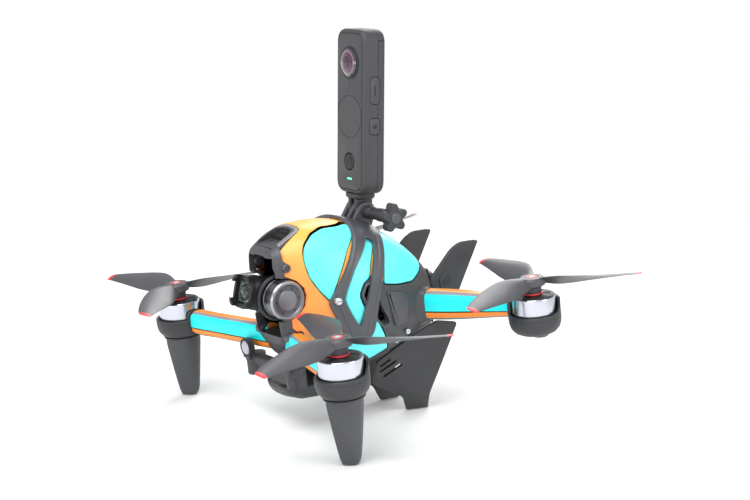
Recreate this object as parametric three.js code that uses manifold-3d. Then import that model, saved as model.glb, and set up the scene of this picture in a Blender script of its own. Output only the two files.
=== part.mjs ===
// Small first-person-view racing drone: four arms with three-blade propellers, a tilting nose
// camera, clip-on side panels, fins, and a tall action camera on a folding fork mount.
// Millimetres, +Z up; the nose points to -Y and +X is the drone's left side. Pieces are built
// with the frame level and z = 0 at the front propeller plane, then the group is pitched nose-down.
import * as THREE from 'three';
import { mergeVertices } from 'three/addons/utils/BufferGeometryUtils.js';
import Module from 'manifold-3d';

// ---------------------------------------------------------------- driving dimensions
const PITCH_DEG = 7.6;      // nose-down attitude of the standing drone
const LIFT = 83.6;          // propeller plane height above the ground at the frame centre
const CENTRE = [8.69698, 0.12878];   // moves the whole object's middle over the origin
const HALF_TRACK = 99;      // half of the left to right motor spacing
const HALF_BASE = 72;       // half of the front to rear motor spacing
const REAR_RISE = 2.3;      // rear propellers sit this much higher
const PROP_R = 67.3;        // propeller radius
const BELL_R = 13.8;        // motor bell radius
const POD_R = 16.5;         // motor pod rim radius
const SHELL_T = 2.2;        // thickness of the painted shell and of the clip-on panels
const GAP = 0.35;           // assembly gap between neighbouring pieces
const CORE_OFFSET = -SHELL_T - GAP;  // from the outer surface to the core surface
const GIMBAL_Y = -59;       // nose camera's tilt axis, parallel to X
const GIMBAL_Z = 8.4;
const GIMBAL_R = 12.3;      // tilt motor radius
const CAM_TILT = 18;        // resting up-tilt of the nose camera, degrees
const FORK_Y = 15.5;        // folding mount's axis, parallel to X
const FORK_Z = 46.5;
const FORK_LEAN = 32;       // backward lean of the fork, degrees
const FIN_T = 2.4;          // fin plate thickness
const FAR = 60;             // cutters reach this far sideways, past the body

const wasm = await Module();
wasm.setup();
const { Manifold, Mesh: ManifoldMesh } = wasm;

// ---------------------------------------------------------------- mesh helpers
const point = (x, y, z) => new THREE.Vector3(x, y, z);
const rad = THREE.MathUtils.degToRad;
const pointIn = (array, i, stride = 3) =>
  point(array[stride * i], array[stride * i + 1], array[stride * i + 2]);
const signedVolume = (a, b, c) => a.dot(b.clone().cross(c));

// turns all triangles over if the skin faces inwards
function windOutward(index, pointAt) {
  let volume = 0;
  for (let i = 0; i < index.length; i += 3) {
    volume += signedVolume(pointAt(index[i]), pointAt(index[i + 1]), pointAt(index[i + 2]));
  }
  if (volume >= 0) return;
  for (let i = 0; i < index.length; i += 3) {
    [index[i], index[i + 1]] = [index[i + 1], index[i]];
  }
}

function solidFrom(geometry) {
  for (const key of Object.keys(geometry.attributes)) {
    if (key !== 'position') geometry.deleteAttribute(key);
  }
  const merged = mergeVertices(geometry, 1e-4);
  const positions = merged.attributes.position.array;
  const index = [];
  for (let i = 0; i < merged.index.count; i += 3) {
    const [a, b, c] = [0, 1, 2].map((k) => merged.index.array[i + k]);
    if (a !== b && b !== c && a !== c) index.push(a, b, c);
  }
  windOutward(index, (i) => pointIn(positions, i));
  return new Manifold(new ManifoldMesh({
    numProp: 3,
    vertProperties: new Float32Array(positions),
    triVerts: new Uint32Array(index),
  }));
}

function geometryOf(solid) {
  const mesh = solid.getMesh();
  const count = mesh.vertProperties.length / mesh.numProp;
  const positions = new Float32Array(count * 3);
  for (let i = 0; i < count; i++) {
    for (let k = 0; k < 3; k++) {
      positions[3 * i + k] = mesh.vertProperties[i * mesh.numProp + k];
    }
  }
  const geometry = new THREE.BufferGeometry();
  geometry.setAttribute('position', new THREE.BufferAttribute(positions, 3));
  geometry.setIndex(new THREE.BufferAttribute(new Uint32Array(mesh.triVerts), 1));
  return geometry;
}

// ---------------------------------------------------------------- solid operations
const join = (...solids) => solids.reduce((a, b) => a.add(b));
const cut = (solid, ...tools) => tools.reduce((a, b) => a.subtract(b), solid);
const turn = (solid, matrix) => solid.transform(matrix.elements);
const move = (solid, x, y, z) => solid.translate([x, y, z]);
const mirrorX = (solid) => solid.mirror([1, 0, 0]);
const bothSides = (solid) => solid.add(mirrorX(solid));
const rotationX = (degrees, x = 0, y = 0, z = 0) =>
  new THREE.Matrix4().makeRotationX(rad(degrees)).setPosition(x, y, z);

// keeps the largest connected piece
function main(solid) {
  const parts = solid.decompose();
  parts.sort((a, b) => b.volume() - a.volume());
  return parts[0];
}

// drops closed inner voids, so every piece is one solid skin
function fill(solid) {
  const { triVerts, numProp, vertProperties } = solid.getMesh();
  const parent = Array.from({ length: vertProperties.length / numProp }, (_, i) => i);
  const find = (i) => {
    while (parent[i] !== i) {
      parent[i] = parent[parent[i]];
      i = parent[i];
    }
    return i;
  };
  for (let i = 0; i < triVerts.length; i += 3) {
    parent[find(triVerts[i])] = find(triVerts[i + 1]);
    parent[find(triVerts[i + 1])] = find(triVerts[i + 2]);
  }
  const volumes = new Map();
  for (let i = 0; i < triVerts.length; i += 3) {
    const corners = [0, 1, 2].map((k) => pointIn(vertProperties, triVerts[i + k], numProp));
    const skinId = find(triVerts[i]);
    volumes.set(skinId, (volumes.get(skinId) || 0) + signedVolume(...corners));
  }
  if (volumes.size < 2) return solid;
  const largest = [...volumes.entries()].sort((a, b) => b[1] - a[1])[0][0];
  const kept = [];
  for (let i = 0; i < triVerts.length; i += 3) {
    if (find(triVerts[i]) === largest) kept.push(triVerts[i], triVerts[i + 1], triVerts[i + 2]);
  }
  return new Manifold(new ManifoldMesh({
    numProp, vertProperties, triVerts: new Uint32Array(kept),
  }));
}

// ---------------------------------------------------------------- outlines
// superellipse about height `centre`, with separate powers for the upper and lower halves
function oval(halfWidth, top, bottom, centre, topPower, bottomPower, count) {
  const signedPower = (value, power) => Math.sign(value) * Math.abs(value) ** power;
  return Array.from({ length: count }, (_, j) => {
    const angle = (2 * Math.PI * j) / count;
    const sine = Math.sin(angle);
    const exponent = 2 / (sine >= 0 ? topPower : bottomPower);
    const reach = sine >= 0 ? top - centre : centre - bottom;
    return [
      halfWidth * signedPower(Math.cos(angle), exponent),
      centre + reach * signedPower(sine, exponent),
    ];
  });
}
const evenOval = (halfWidth, halfHeight, power, count) =>
  oval(halfWidth, halfHeight, -halfHeight, 0, power, power, count);

function circle(radius, count, centre0 = 0, centre1 = 0) {
  return Array.from({ length: count }, (_, i) => {
    const angle = (2 * Math.PI * i) / count;
    return [centre0 + radius * Math.cos(angle), centre1 + radius * Math.sin(angle)];
  });
}

// rounds corners with quadratic curves; `radius` is one number or one per corner
function fillet(points, radius, steps = 2) {
  const out = [];
  const n = points.length;
  for (let i = 0; i < n; i++) {
    const corner = new THREE.Vector2(...points[i]);
    const back = new THREE.Vector2(...points[(i + n - 1) % n]).sub(corner);
    const ahead = new THREE.Vector2(...points[(i + 1) % n]).sub(corner);
    const wanted = Array.isArray(radius) ? radius[i] : radius;
    const reach = Math.min(wanted, back.length() * 0.45, ahead.length() * 0.45);
    if (reach < 0.05) {
      out.push([corner.x, corner.y]);
      continue;
    }
    const start = corner.clone().add(back.setLength(reach));
    const end = corner.clone().add(ahead.setLength(reach));
    for (let k = 0; k <= steps; k++) {
      const t = k / steps;
      const blend = (axis) =>
        (1 - t) ** 2 * start[axis] + 2 * t * (1 - t) * corner[axis] + t * t * end[axis];
      out.push([blend('x'), blend('y')]);
    }
  }
  return out;
}
const roundRect = (x0, x1, y0, y1, radius, steps) =>
  fillet([[x0, y0], [x1, y0], [x1, y1], [x0, y1]], radius, steps);

// outline grown by a distance (negative shrinks)
function grow(points, distance) {
  const n = points.length;
  let area = 0;
  for (let i = 0; i < n; i++) {
    const next = points[(i + 1) % n];
    area += points[i][0] * next[1] - next[0] * points[i][1];
  }
  const sign = area > 0 ? 1 : -1;
  const normal = (from, to) => {
    const run = [to[0] - from[0], to[1] - from[1]];
    const length = Math.hypot(...run) || 1;
    return [sign * run[1] / length, -sign * run[0] / length];
  };
  return points.map((corner, i) => {
    const before = normal(points[(i + n - 1) % n], corner);
    const after = normal(corner, points[(i + 1) % n]);
    const sum = [before[0] + after[0], before[1] + after[1]];
    const scale = Math.max(0.35, (sum[0] ** 2 + sum[1] ** 2) / 2);
    return [corner[0] + (distance * sum[0]) / scale, corner[1] + (distance * sum[1]) / scale];
  });
}

// ---------------------------------------------------------------- solid makers
// a closed skin through rings of equal point count
function loft(rings) {
  const n = rings[0].length;
  const points = rings.flat();
  const index = [];
  for (let i = 0; i + 1 < rings.length; i++) {
    for (let j = 0; j < n; j++) {
      const a = i * n + j;
      const b = i * n + ((j + 1) % n);
      index.push(a, b, a + n, b, b + n, a + n);
    }
  }
  const cap = (ring, base, flip) => {
    const middle = ring.reduce((sum, p) => sum.add(p), point(0, 0, 0)).multiplyScalar(1 / n);
    points.push(middle);
    for (let j = 0; j < n; j++) {
      const a = base + j;
      const b = base + ((j + 1) % n);
      index.push(...(flip ? [b, a] : [a, b]), points.length - 1);
    }
  };
  cap(rings[0], 0, true);
  cap(rings[rings.length - 1], (rings.length - 1) * n, false);
  windOutward(index, (i) => points[i]);
  const geometry = new THREE.BufferGeometry();
  const positions = points.flatMap((p) => [p.x, p.y, p.z]);
  geometry.setAttribute('position', new THREE.Float32BufferAttribute(positions, 3));
  geometry.setIndex(index);
  return solidFrom(geometry);
}
// stations are [place along the axis, ...sizes], and outline(...sizes) gives the section there
const loftY = (stations, outline) =>
  loft(stations.map(([y, ...sizes]) => outline(...sizes).map(([x, z]) => point(x, y, z))));
const loftZ = (stations, outline) =>
  loft(stations.map(([z, ...sizes]) => outline(...sizes).map(([x, y]) => point(x, y, z))));

function extrude(points, depth, matrix) {
  const shape = new THREE.Shape();
  points.forEach(([x, y], i) => (i ? shape.lineTo(x, y) : shape.moveTo(x, y)));
  shape.closePath();
  const geometry = new THREE.ExtrudeGeometry(shape, { depth, bevelEnabled: false, steps: 1 });
  geometry.applyMatrix4(matrix);
  return solidFrom(geometry);
}
// side-view outline (y, z) run from x0 to x1
const prismX = (points, x0 = -FAR, x1 = FAR) => extrude(points, x1 - x0,
  new THREE.Matrix4().set(0, 0, 1, x0, 1, 0, 0, 0, 0, 1, 0, 0, 0, 0, 0, 1));
// front-view outline (x, z) run from y0 to y1
const prismY = (points, y0, y1) => extrude(points, y1 - y0,
  new THREE.Matrix4().set(1, 0, 0, 0, 0, 0, -1, y1, 0, 1, 0, 0, 0, 0, 0, 1));
// plan outline (x, y) run from z0 to z1
const prismZ = (points, z0, z1) => extrude(points, z1 - z0,
  new THREE.Matrix4().makeTranslation(0, 0, z0));

// turned pieces: the profile is (radius, place along the axis)
function lathe(profile, segments) {
  const points = profile.map(([radius, z]) => new THREE.Vector2(radius, z));
  return solidFrom(new THREE.LatheGeometry(points, segments).rotateX(Math.PI / 2));
}
const latheX = (profile, segments) =>
  turn(lathe(profile, segments), new THREE.Matrix4().makeRotationY(Math.PI / 2));
const rod = (radius, z0, z1, segments) =>
  lathe([[0, z0], [radius, z0], [radius, z1], [0, z1]], segments);
function box(x0, x1, y0, y1, z0, z1) {
  const geometry = new THREE.BoxGeometry(x1 - x0, y1 - y0, z1 - z0);
  geometry.translate((x0 + x1) / 2, (y0 + y1) / 2, (z0 + z1) / 2);
  return solidFrom(geometry);
}

// ---------------------------------------------------------------- materials and piece list
const LOOKS = {
  orange: { color: 0xf2a24c, roughness: 0.38, metalness: 0 },
  cyan: { color: 0x86f6f2, roughness: 0.42, metalness: 0 },
  grey: { color: 0x55565a, roughness: 0.62, metalness: 0 },
  dark: { color: 0x2c2d30, roughness: 0.7, metalness: 0 },
  black: { color: 0x141416, roughness: 0.55, metalness: 0 },
  silver: { color: 0xc6c8d0, roughness: 0.28, metalness: 0.9 },
  steel: { color: 0x9a9ca2, roughness: 0.35, metalness: 0.9 },
  copper: { color: 0xb87038, roughness: 0.45, metalness: 0.6 },
  glass: { color: 0x20242c, roughness: 0.05, metalness: 0.1 },
  camera: { color: 0x3a3b3e, roughness: 0.6, metalness: 0 },
  board: { color: 0x1e4a34, roughness: 0.6, metalness: 0.1 },
  lamp: { color: 0xd8d8de, roughness: 0.2, metalness: 0 },
};
const FINE = 0.14;          // simplify tolerance of most pieces
const COARSE = 0.3;         // simplify tolerance of the large body pieces
const COARSE_PIECES = ['body_frame', 'upper_shell', 'nose_frame'];

const pieces = {};
function put(name, solid, look) {
  const tolerance = COARSE_PIECES.includes(name) ? COARSE : FINE;
  const simple = fill(main(solid)).simplify(tolerance);
  pieces[name] = { solid: fill(main(simple)), look };
}
function putPair(name, leftSolid, look) {
  put(name + '_left', leftSolid, look);
  put(name + '_right', mirrorX(leftSolid), look);
}

// ---------------------------------------------------------------- fuselage surface
// y, top, bottom, widest height, half width
const HULL = [
  [-60, 38.6, -28.0, 6, 17.8], [-54, 41.8, -33, 7, 22.2], [-50, 43.8, -35.4, 7, 25.0],
  [-42, 47.4, -39, 6, 29.6], [-28, 48.2, -46, 3, 34.0], [-12, 46.5, -49, 0, 36.5],
  [4, 42.0, -48, -3, 37.0], [20, 34.5, -45, -7, 36.0], [34, 23.5, -41, -11, 33.0],
  [46, 10, -37, -15, 29.0], [56, -3, -33, -18, 24.0],
];
const HULL_YS = [-58, -54, -50, -42, -28, -12, 4, 20, 34, 42, 50];

// hull sizes at y, held constant past the ends of the table
function hullSizes(y) {
  if (y <= HULL[0][0]) return HULL[0].slice(1);
  for (let i = 0; i + 1 < HULL.length; i++) {
    if (y > HULL[i + 1][0]) continue;
    const t = (y - HULL[i][0]) / (HULL[i + 1][0] - HULL[i][0]);
    return HULL[i].slice(1).map((value, k) => value + (HULL[i + 1][k + 1] - value) * t);
  }
  return HULL[HULL.length - 1].slice(1);
}
function hull(offset, ys = HULL_YS, count = 20) {
  return loftY(ys.map((y) => [y, ...hullSizes(y)]), (top, bottom, centre, halfWidth) =>
    oval(halfWidth + offset, top + offset, bottom - offset, centre, 2.6, 3.0, count));
}
const outer = hull(0);
const core = hull(CORE_OFFSET);
const coreHollow = hull(CORE_OFFSET - 2.2, [-70, -42, -12, 20, 60], 12);
const hullClear = hull(GAP);
const skin = outer.subtract(hull(-SHELL_T));

// side-view outlines on the left side, (y, z)
const TEARDROP = [
  [-3, 40.3], [-2.2, 42.5], [-6, 44.5], [-14, 45.0], [-25.1, 46.0], [-34.7, 44.3],
  [-41.3, 40.0], [-44.2, 35], [-45, 28.2], [-43.8, 19.4], [-39.5, 10.7], [-34.3, 3.3],
  [-31.8, 4.9], [-25.9, 17.2], [-16.3, 31.8], [-7.5, 38.5],
];
const MIDDLE = [
  [0.5, 35.6], [3.6, 34.2], [4.4, 31.0], [-1.9, 22.5], [-5.7, 12.3], [-10.7, 9.6],
  [-14.2, 2.8], [-11.2, -6.2], [-14, -13.8], [-16.5, -17.4], [-19, -13.5], [-25.2, 2.7],
  [-18, 16.8], [-8.2, 29.9],
];
const REAR = [
  [11.5, 35.6], [13.5, 36.8], [21, 32.6], [29.5, 26.0], [38.5, 16.4], [41, 12],
  [40.2, 8.8], [35, 5.5], [27, 2.0], [15, 3.2], [3.6, 6.0], [6.6, 20],
];
const LOWER = [
  [-52, -20.5], [-44, -21.5], [-30, -26.5], [-12, -25.5], [-4, -12.5], [2.5, -28],
  [6, -37.5], [-6, -42.5], [-22, -42], [-38, -36], [-49, -27],
];
const VENT = [
  [-4.5, 10.0], [-10, 9.2], [-13.6, 2.5], [-10.8, -5], [0.2, -22.0], [6.4, -21.4],
  [6.2, -16.7], [-0.4, -1.0], [2.4, 4.8],
];
// outer and inner edges of the saddle strap
const STRAP_OUT = [
  [-7, 41.5], [-33, 6.0], [-35.6, 2.3], [-27.6, -19.5], [-25.4, -24.7], [-9.5, -24.7],
  [-7.4, -20.6], [-3.2, -5.2], [1.6, 9.6], [8.5, 26.7], [10.6, 31.4], [13.2, 36],
  [15, 60], [-1, 60], [-3.4, 45.5],
];
const STRAP_IN = [
  [-1.2, 36.4], [2.2, 34.6], [3.2, 31.9], [-5.4, 12.4], [-12.5, -6.3], [-16.8, -16.6],
  [-19.8, -12.9], [-26.6, 3.4], [-19.2, 17.6],
];
// everything ahead of the rear edge of the nose frame
const AHEAD = [
  [-54.6, 60], [-54.6, 41.2], [-55.2, 40.0], [-56.4, 31.8], [-53.6, 28.8], [-53.2, 26.5],
  [-56.8, 25.0], [-57.0, 22.0], [-51.2, 18.6], [-47.6, 13.5], [-46.8, 8.7], [-48.2, 2.0],
  [-52.5, -2.4], [-56.2, -5.4], [-56, -11.4], [-52.4, -15.2], [-52, -60],
  [-90, -60], [-90, 60],
];
// the cowl runs back over the crown as a U round the air intake, in plan (x, y)
const COWL_U = [
  [-13.3, -58], [-13.4, -45], [-12.9, -41.0], [-11.7, -38.7], [-9.8, -37.5], [-6, -36.9],
  [0, -36.7], [6, -36.9], [9.8, -37.5], [11.7, -38.7], [12.9, -41.0], [13.4, -45],
  [13.3, -58],
];
const cowlZone = (growth) =>
  prismX(grow(AHEAD, growth)).add(prismZ(grow(COWL_U, growth), 33, 80));
// cuts a side-view outline through both flanks, from innerX outwards
const sideCutter = (outline, radius, growth, innerX) =>
  bothSides(prismX(grow(fillet(outline, radius), growth), innerX));

// ---------------------------------------------------------------- clip-on panels
// name, outline, corner radius, growth
for (const [name, outline, radius, growth] of [
  ['teardrop_panel', TEARDROP, 3, -0.45],
  ['middle_panel', MIDDLE, 2, -0.3],
  ['rear_panel', REAR, 2.5, -0.3],
  ['lower_panel', LOWER, 2, -0.3],
]) {
  putPair(name, skin.intersect(prismX(grow(fillet(outline, radius), growth), 1.5)), 'cyan');
}

// ---------------------------------------------------------------- painted upper shell
// side view (y, z): the shell lies above this line
const PAINT_AREA = [
  [-90, -19], [-52, -19.5], [-44, -20.6], [-30, -25.6], [-24, -25.6], [-24, -20],
  [16, -8], [60, -8], [60, 70], [-90, 70],
];
// side view (y, z): the flank behind the strap belongs to the body frame
const BARE_FLANK = [
  [-16, -40], [-16.5, -17], [-13, -6.3], [-16, 2.4], [-11, 11.6], [-5.6, 14], [3, 8.5],
  [15, 4.8], [27, 3.6], [35, 7.2], [41.5, 11.5], [60, 11.5], [60, -60], [-16, -60],
];
function upperShell() {
  return cut(
    skin.intersect(prismX(PAINT_AREA)),
    cowlZone(GAP),
    ...[TEARDROP, MIDDLE, REAR].map((outline) => sideCutter(outline, 2.5, 0.7, 1.2)),
    bothSides(prismX(BARE_FLANK, 8)),
    box(-60, 60, 43, 80, -60, 60),
  );
}
put('upper_shell', upperShell(), 'orange');

// ---------------------------------------------------------------- arm axes and rear shoulders
// an arm's centre line from its start to the motor, rising evenly; pointAt takes a plan distance
function armAxis(start, tipX, tipY, rise) {
  const direction = point(tipX - start.x, tipY - start.y, 0).normalize();
  const length = Math.hypot(tipX - start.x, tipY - start.y);
  const pointAt = (distance) => point(
    start.x + direction.x * distance,
    start.y + direction.y * distance,
    start.z + rise * Math.max(0, distance) / length,
  );
  return { direction, pointAt };
}
const REAR_AXIS = armAxis(point(30, 37, -16), HALF_TRACK, HALF_BASE, REAR_RISE);
const FRONT_AXIS = armAxis(point(20, -54, -22.5), HALF_TRACK, -71.5, 0);

function armRing(centre, direction, halfHeight, halfWidth, power) {
  const side = point(direction.y, -direction.x, 0);
  return evenOval(halfWidth, halfHeight, power, 16).map(([across, z]) =>
    centre.clone().addScaledVector(side, across).add(point(0, 0, z)));
}
// stations: distance along the arm, half height, half width
const armLoft = (stations, axis, power = 3.0) =>
  loft(stations.map(([distance, halfHeight, halfWidth]) =>
    armRing(axis.pointAt(distance), axis.direction, halfHeight, halfWidth, power)));

const SHOULDER = [
  [-16, 19, 17], [-10, 17.6, 15.6], [-5, 15.6, 13.4], [-1, 13.2, 11], [2, 11.4, 8.9],
  [4, 10.6, 7.8],
];
const shoulders = bothSides(cut(
  armLoft(SHOULDER, REAR_AXIS, 2.6),
  hull(CORE_OFFSET - 1.4),
  sideCutter(REAR, 2.5, 0.35, 0),
  sideCutter(LOWER, 2, 0.35, 0),
  box(-26, 26, -20, 80, -33, 5),
));

// ---------------------------------------------------------------- inner body frame
// side view (y, z) of the flank skin under and behind the panels
const FLANK = [
  [-52, -22], [-44, -23], [-28, -27.5], [-26, -24], [-16, -17], [-13, -6.3], [-16, 2.4],
  [-11, 11.6], [-5.6, 14], [3, 8.1], [15, 4.4], [27, 3.2], [35, 6.8], [41.5, 11.1],
  [60, 11.1], [60, -60], [-52, -60],
];
// thin core with vents, a battery bay open to the rear and an open nose
function bodyFrame() {
  const shell = cut(
    core,
    coreHollow,
    box(-22.4, 22.4, 20, 80, -30, 2.4),
    prismX([[-90, 70], [-90, -70], [-46, -70], [-46, 70]]),
  );
  const flank = cut(
    outer.subtract(hull(CORE_OFFSET - 0.8)).intersect(prismX(grow(FLANK, -0.5))),
    sideCutter(LOWER, 2, 0.05, 1.2),
    sideCutter(MIDDLE, 2, 0.3, 8),
    sideCutter(REAR, 2.5, 0.3, 1.2),
    prismX(grow(AHEAD, GAP)),
    box(-60, 60, 44, 80, -60, 60),
  );
  // a raised rim round the side opening
  const bezel = cut(
    hull(0.5).subtract(coreHollow).intersect(sideCutter(VENT, 2, 0.01, 24)),
    sideCutter(MIDDLE, 2, 0.3, 8),
    sideCutter(LOWER, 2, 0.3, 8),
    sideCutter(REAR, 2.5, 0.3, 8),
  );
  // battery bay walls join the core at the back
  const bay = cut(box(-24, 24, -12, 47, -31.6, 4), box(-22.4, 22.4, -10.4, 80, -30, 2.4))
    .intersect(core);
  const vented = cut(join(shell, flank, bezel, bay), sideCutter(VENT, 2, -1.4, 24.5));
  return join(vented, shoulders);
}
let frame = bodyFrame();

// ---------------------------------------------------------------- nose frame
// y, top, bottom, widest height, half width, top power, bottom power
const NOSE = [
  [-62.2, 34.0, -18, 6, 12.2, 5.0, 3.4], [-61.2, 37.2, -21.6, 6, 16.0, 4.8, 3.4],
  [-59.6, 38.8, -24.4, 6, 17.8, 4.5, 3.4], [-56.8, 40.4, -28, 6.5, 19.9, 4.0, 3.4],
  [-54, 41.8, -33, 7, 22.2, 3.6, 3.3], [-50, 43.8, -35.4, 7, 25.0, 3.2, 3.2],
  [-45, 46.2, -38, 6.5, 27.9, 2.7, 3.0], [-35.6, 48.0, -42, 5, 31.7, 2.6, 3.0],
];
const noseLoft = (offset) =>
  loftY(NOSE, (top, bottom, centre, halfWidth, topPower, bottomPower) => oval(
    halfWidth + offset, top + offset, bottom - offset, centre, topPower, bottomPower, 28));
const noseClear = noseLoft(GAP);

// openings in the front face, (x, z)
const UPPER_WINDOW = [
  [-14.2, 14], [16.2, 14], [15.8, 25], [11.5, 32.2], [5, 34.4], [-5, 34.4], [-11, 31.5],
  [-14, 25],
];
const LOWER_WINDOW = [[-12.4, -14.6], [12.6, -14.6], [13.2, -5], [-14, -5]];
// air intake in plan (x, y)
const INTAKE = [
  [-10.0, -59.0], [-10.4, -50], [-9.8, -44.6], [-7.6, -41.4], [-3.6, -40.3], [0, -40.2],
  [3.6, -40.3], [7.6, -41.4], [9.8, -44.6], [10.4, -50], [10.0, -59.0],
];
function noseFrame() {
  const gimbalBore = (radius, x0, x1) =>
    prismX(circle(radius, 28, GIMBAL_Y, GIMBAL_Z), x0, x1);
  const cameraSpace = gimbalBore(25.4, -14.2, 14.2);
  const motorBore = gimbalBore(GIMBAL_R + 0.5, 12.4, FAR);
  const pocket = prismZ(INTAKE, 30, 80)
    .intersect(prismX([[-60.2, 38.2], [-36, 40.6], [-36, 80], [-60.2, 80]], -20, 20));
  const sensor = (y, z, radius, tipX) => move(latheX([
    [0, 12], [radius, 12], [radius, tipX - 1], [radius - 1, tipX], [0, tipX],
  ], 20), 0, y, z);
  // upper and lower side sensor housings
  const sensors = join(sensor(-55.3, 27.4, 2.8, 21.8), sensor(-56.0, -17.5, 3.9, 20.6));
  const cowl = cut(
    noseLoft(0).intersect(cowlZone(0)),
    noseLoft(-3.2).intersect(box(-60, 60, -53, 0, -60, 60)),
    cameraSpace,
    prismX([[-90, -6.6], [-90, 21.6], [GIMBAL_Y, 21.6], [GIMBAL_Y, -6.6]]),
    motorBore,
    gimbalBore(11, -FAR, -12.4),
    prismY(fillet(UPPER_WINDOW, 2), -90, -57.5),
    prismY(fillet(LOWER_WINDOW, 1.5), -90, -57),
    pocket,
    core.intersect(box(-60, 60, -46.4, 0, -60, 60)),
  );
  return cut(join(cowl, sensors, mirrorX(sensors)), cameraSpace, motorBore, frame);
}
put('nose_frame', noseFrame(), 'grey');

// slatted plate in the intake pocket
function intakeGrille() {
  const zone = prismZ(grow(INTAKE, -0.4), 30, 80);
  const plate = [[-58.4, 38.7], [-38, 40.9], [-38, 41.8], [-58.4, 39.5]];
  const slat = [[-47.5, 39.9], [-42.8, 40.6], [-42.8, 45.2], [-45, 44.2]];
  let grille = zone.intersect(prismX(plate, -20, 20));
  for (let x = -7.5; x <= 7.5; x += 2.5) {
    grille = grille.add(prismX(slat, x - 0.5, x + 0.5));
  }
  return grille.intersect(zone);
}
put('intake_grille', intakeGrille(), 'dark');

// ---------------------------------------------------------------- tilting nose camera
// built about the tilt axis, pointing to -Y before tilting
const atGimbal = (solid) => move(solid, 0, GIMBAL_Y, GIMBAL_Z);
const tilted = (solid) => atGimbal(turn(solid, rotationX(-CAM_TILT)));

function cameraHead() {
  // y, half width, half height
  const barrel = loftY([
    [9.5, 9.2, 9.2], [6, 10.6, 10.6], [-4, 10.9, 10.7], [-14, 10.6, 10.2], [-16.5, 10.2, 9.8],
  ], (halfWidth, halfHeight) => evenOval(halfWidth, halfHeight, 3.4, 20));
  const trunnion = latheX([[0, -12], [8.2, -12], [8.2, 11.9], [0, 11.9]], 28);
  // a short collar notched on its four sides
  const hood = cut(
    loftY([[-15.5, 10.4, 10.0], [-21, 11.0, 10.2]], (halfWidth, halfHeight) =>
      evenOval(halfWidth, halfHeight, 3.2, 20)),
    prismY(roundRect(-8.4, 8.4, -7.6, 7.6, 2.5), -30, -16.4),
    prismY([[-6.4, -14], [6.4, -14], [5, 14], [-5, 14]], -30, -18.6),
    prismY([[-14, -5.2], [14, -5.2], [14, 5.2], [-14, 5.2]], -30, -18.6),
  );
  return cut(join(barrel, trunnion, hood), prismY(roundRect(-8, 8, -7, 7, 2), -30, -14.6));
}
put('camera_head', tilted(cameraHead()), 'black');
put('camera_window', tilted(join(
  prismY(roundRect(-7.6, 7.6, -6.6, 6.6, 2), -16.2, -14.9),
  turn(lathe([[0, 0], [5.2, 0], [4.8, 0.5], [3.2, 1.1], [0, 1.4]], 24),
    rotationX(90, 0, -16.2, 0)),
)), 'glass');
// tilt motor on the left cheek, with a stepped end cap
put('gimbal_motor', atGimbal(latheX([
  [0, 12.6], [GIMBAL_R, 12.6], [GIMBAL_R, 24], [GIMBAL_R - 0.9, 25], [9.9, 25], [9.4, 24.1],
  [6.6, 24.1], [6.2, 24.7], [0, 24.7],
], 24)), 'silver');
put('gimbal_bearing', atGimbal(latheX([
  [0, -21], [8.4, -21], [9.4, -20], [9.4, -13.4], [8.4, -12.4], [0, -12.4],
], 24)), 'grey');

// ---------------------------------------------------------------- battery and electronics
put('battery', join(
  box(-21.9, 21.9, -8, 44.5, -29.5, 1.9),
  // y, half width, top, bottom
  loftY([
    [44.5, 21.9, 1.9, -29.5], [50, 21.5, 1.6, -29], [54.5, 19.5, 0, -27], [57, 16, -3, -24],
  ], (halfWidth, top, bottom) => oval(halfWidth, top, bottom, (top + bottom) / 2, 6, 6, 24)),
), 'dark');
put('circuit_stack', join(
  box(-15, 15, -40, -16, -22, -20.4),
  box(-15, 15, -40, -16, -12, -10.4),
  box(-11, 11, -36, -20, -20.4, -12),
  box(-7, 7, -34, -22, -10.4, -7),
), 'board');

// ---------------------------------------------------------------- belly tray
// y, half width, bottom
const TRAY = [
  [-62, 8, -52], [-58, 16, -58], [-50, 20, -61.5], [-40, 21.5, -62.6], [-30, 21, -62],
  [-22, 18, -58.5], [-18, 12, -54],
];
const trayBowl = loftY(TRAY, (halfWidth, bottom) =>
  oval(halfWidth, -49.6, bottom, -51, 3, 2.6, 24));
put('belly_tray', cut(trayBowl.add(box(-9, 9, -36, -22, -51, -46.2)), hullClear), 'dark');

// ---------------------------------------------------------------- motors and propellers
// phase is the resting angle of the propeller, degrees
const CORNERS = [
  { name: 'front_right', x: -HALF_TRACK, y: -HALF_BASE, z: 0, phase: 190.9 },
  { name: 'front_left', x: HALF_TRACK, y: -HALF_BASE, z: 0, phase: 282.9 },
  { name: 'rear_left', x: HALF_TRACK, y: HALF_BASE, z: REAR_RISE, phase: 45.4 },
  { name: 'rear_right', x: -HALF_TRACK, y: HALF_BASE, z: REAR_RISE, phase: 102.4 },
];
const place = (solid, corner) => move(solid, corner.x, corner.y, corner.z);

// blade section in half chords and half thicknesses, leading edge first
const AIRFOIL = [[1, 0], [0.6, 0.75], [0, 1], [-0.6, 0.75], [-1, 0], [0, -0.35]];
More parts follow.
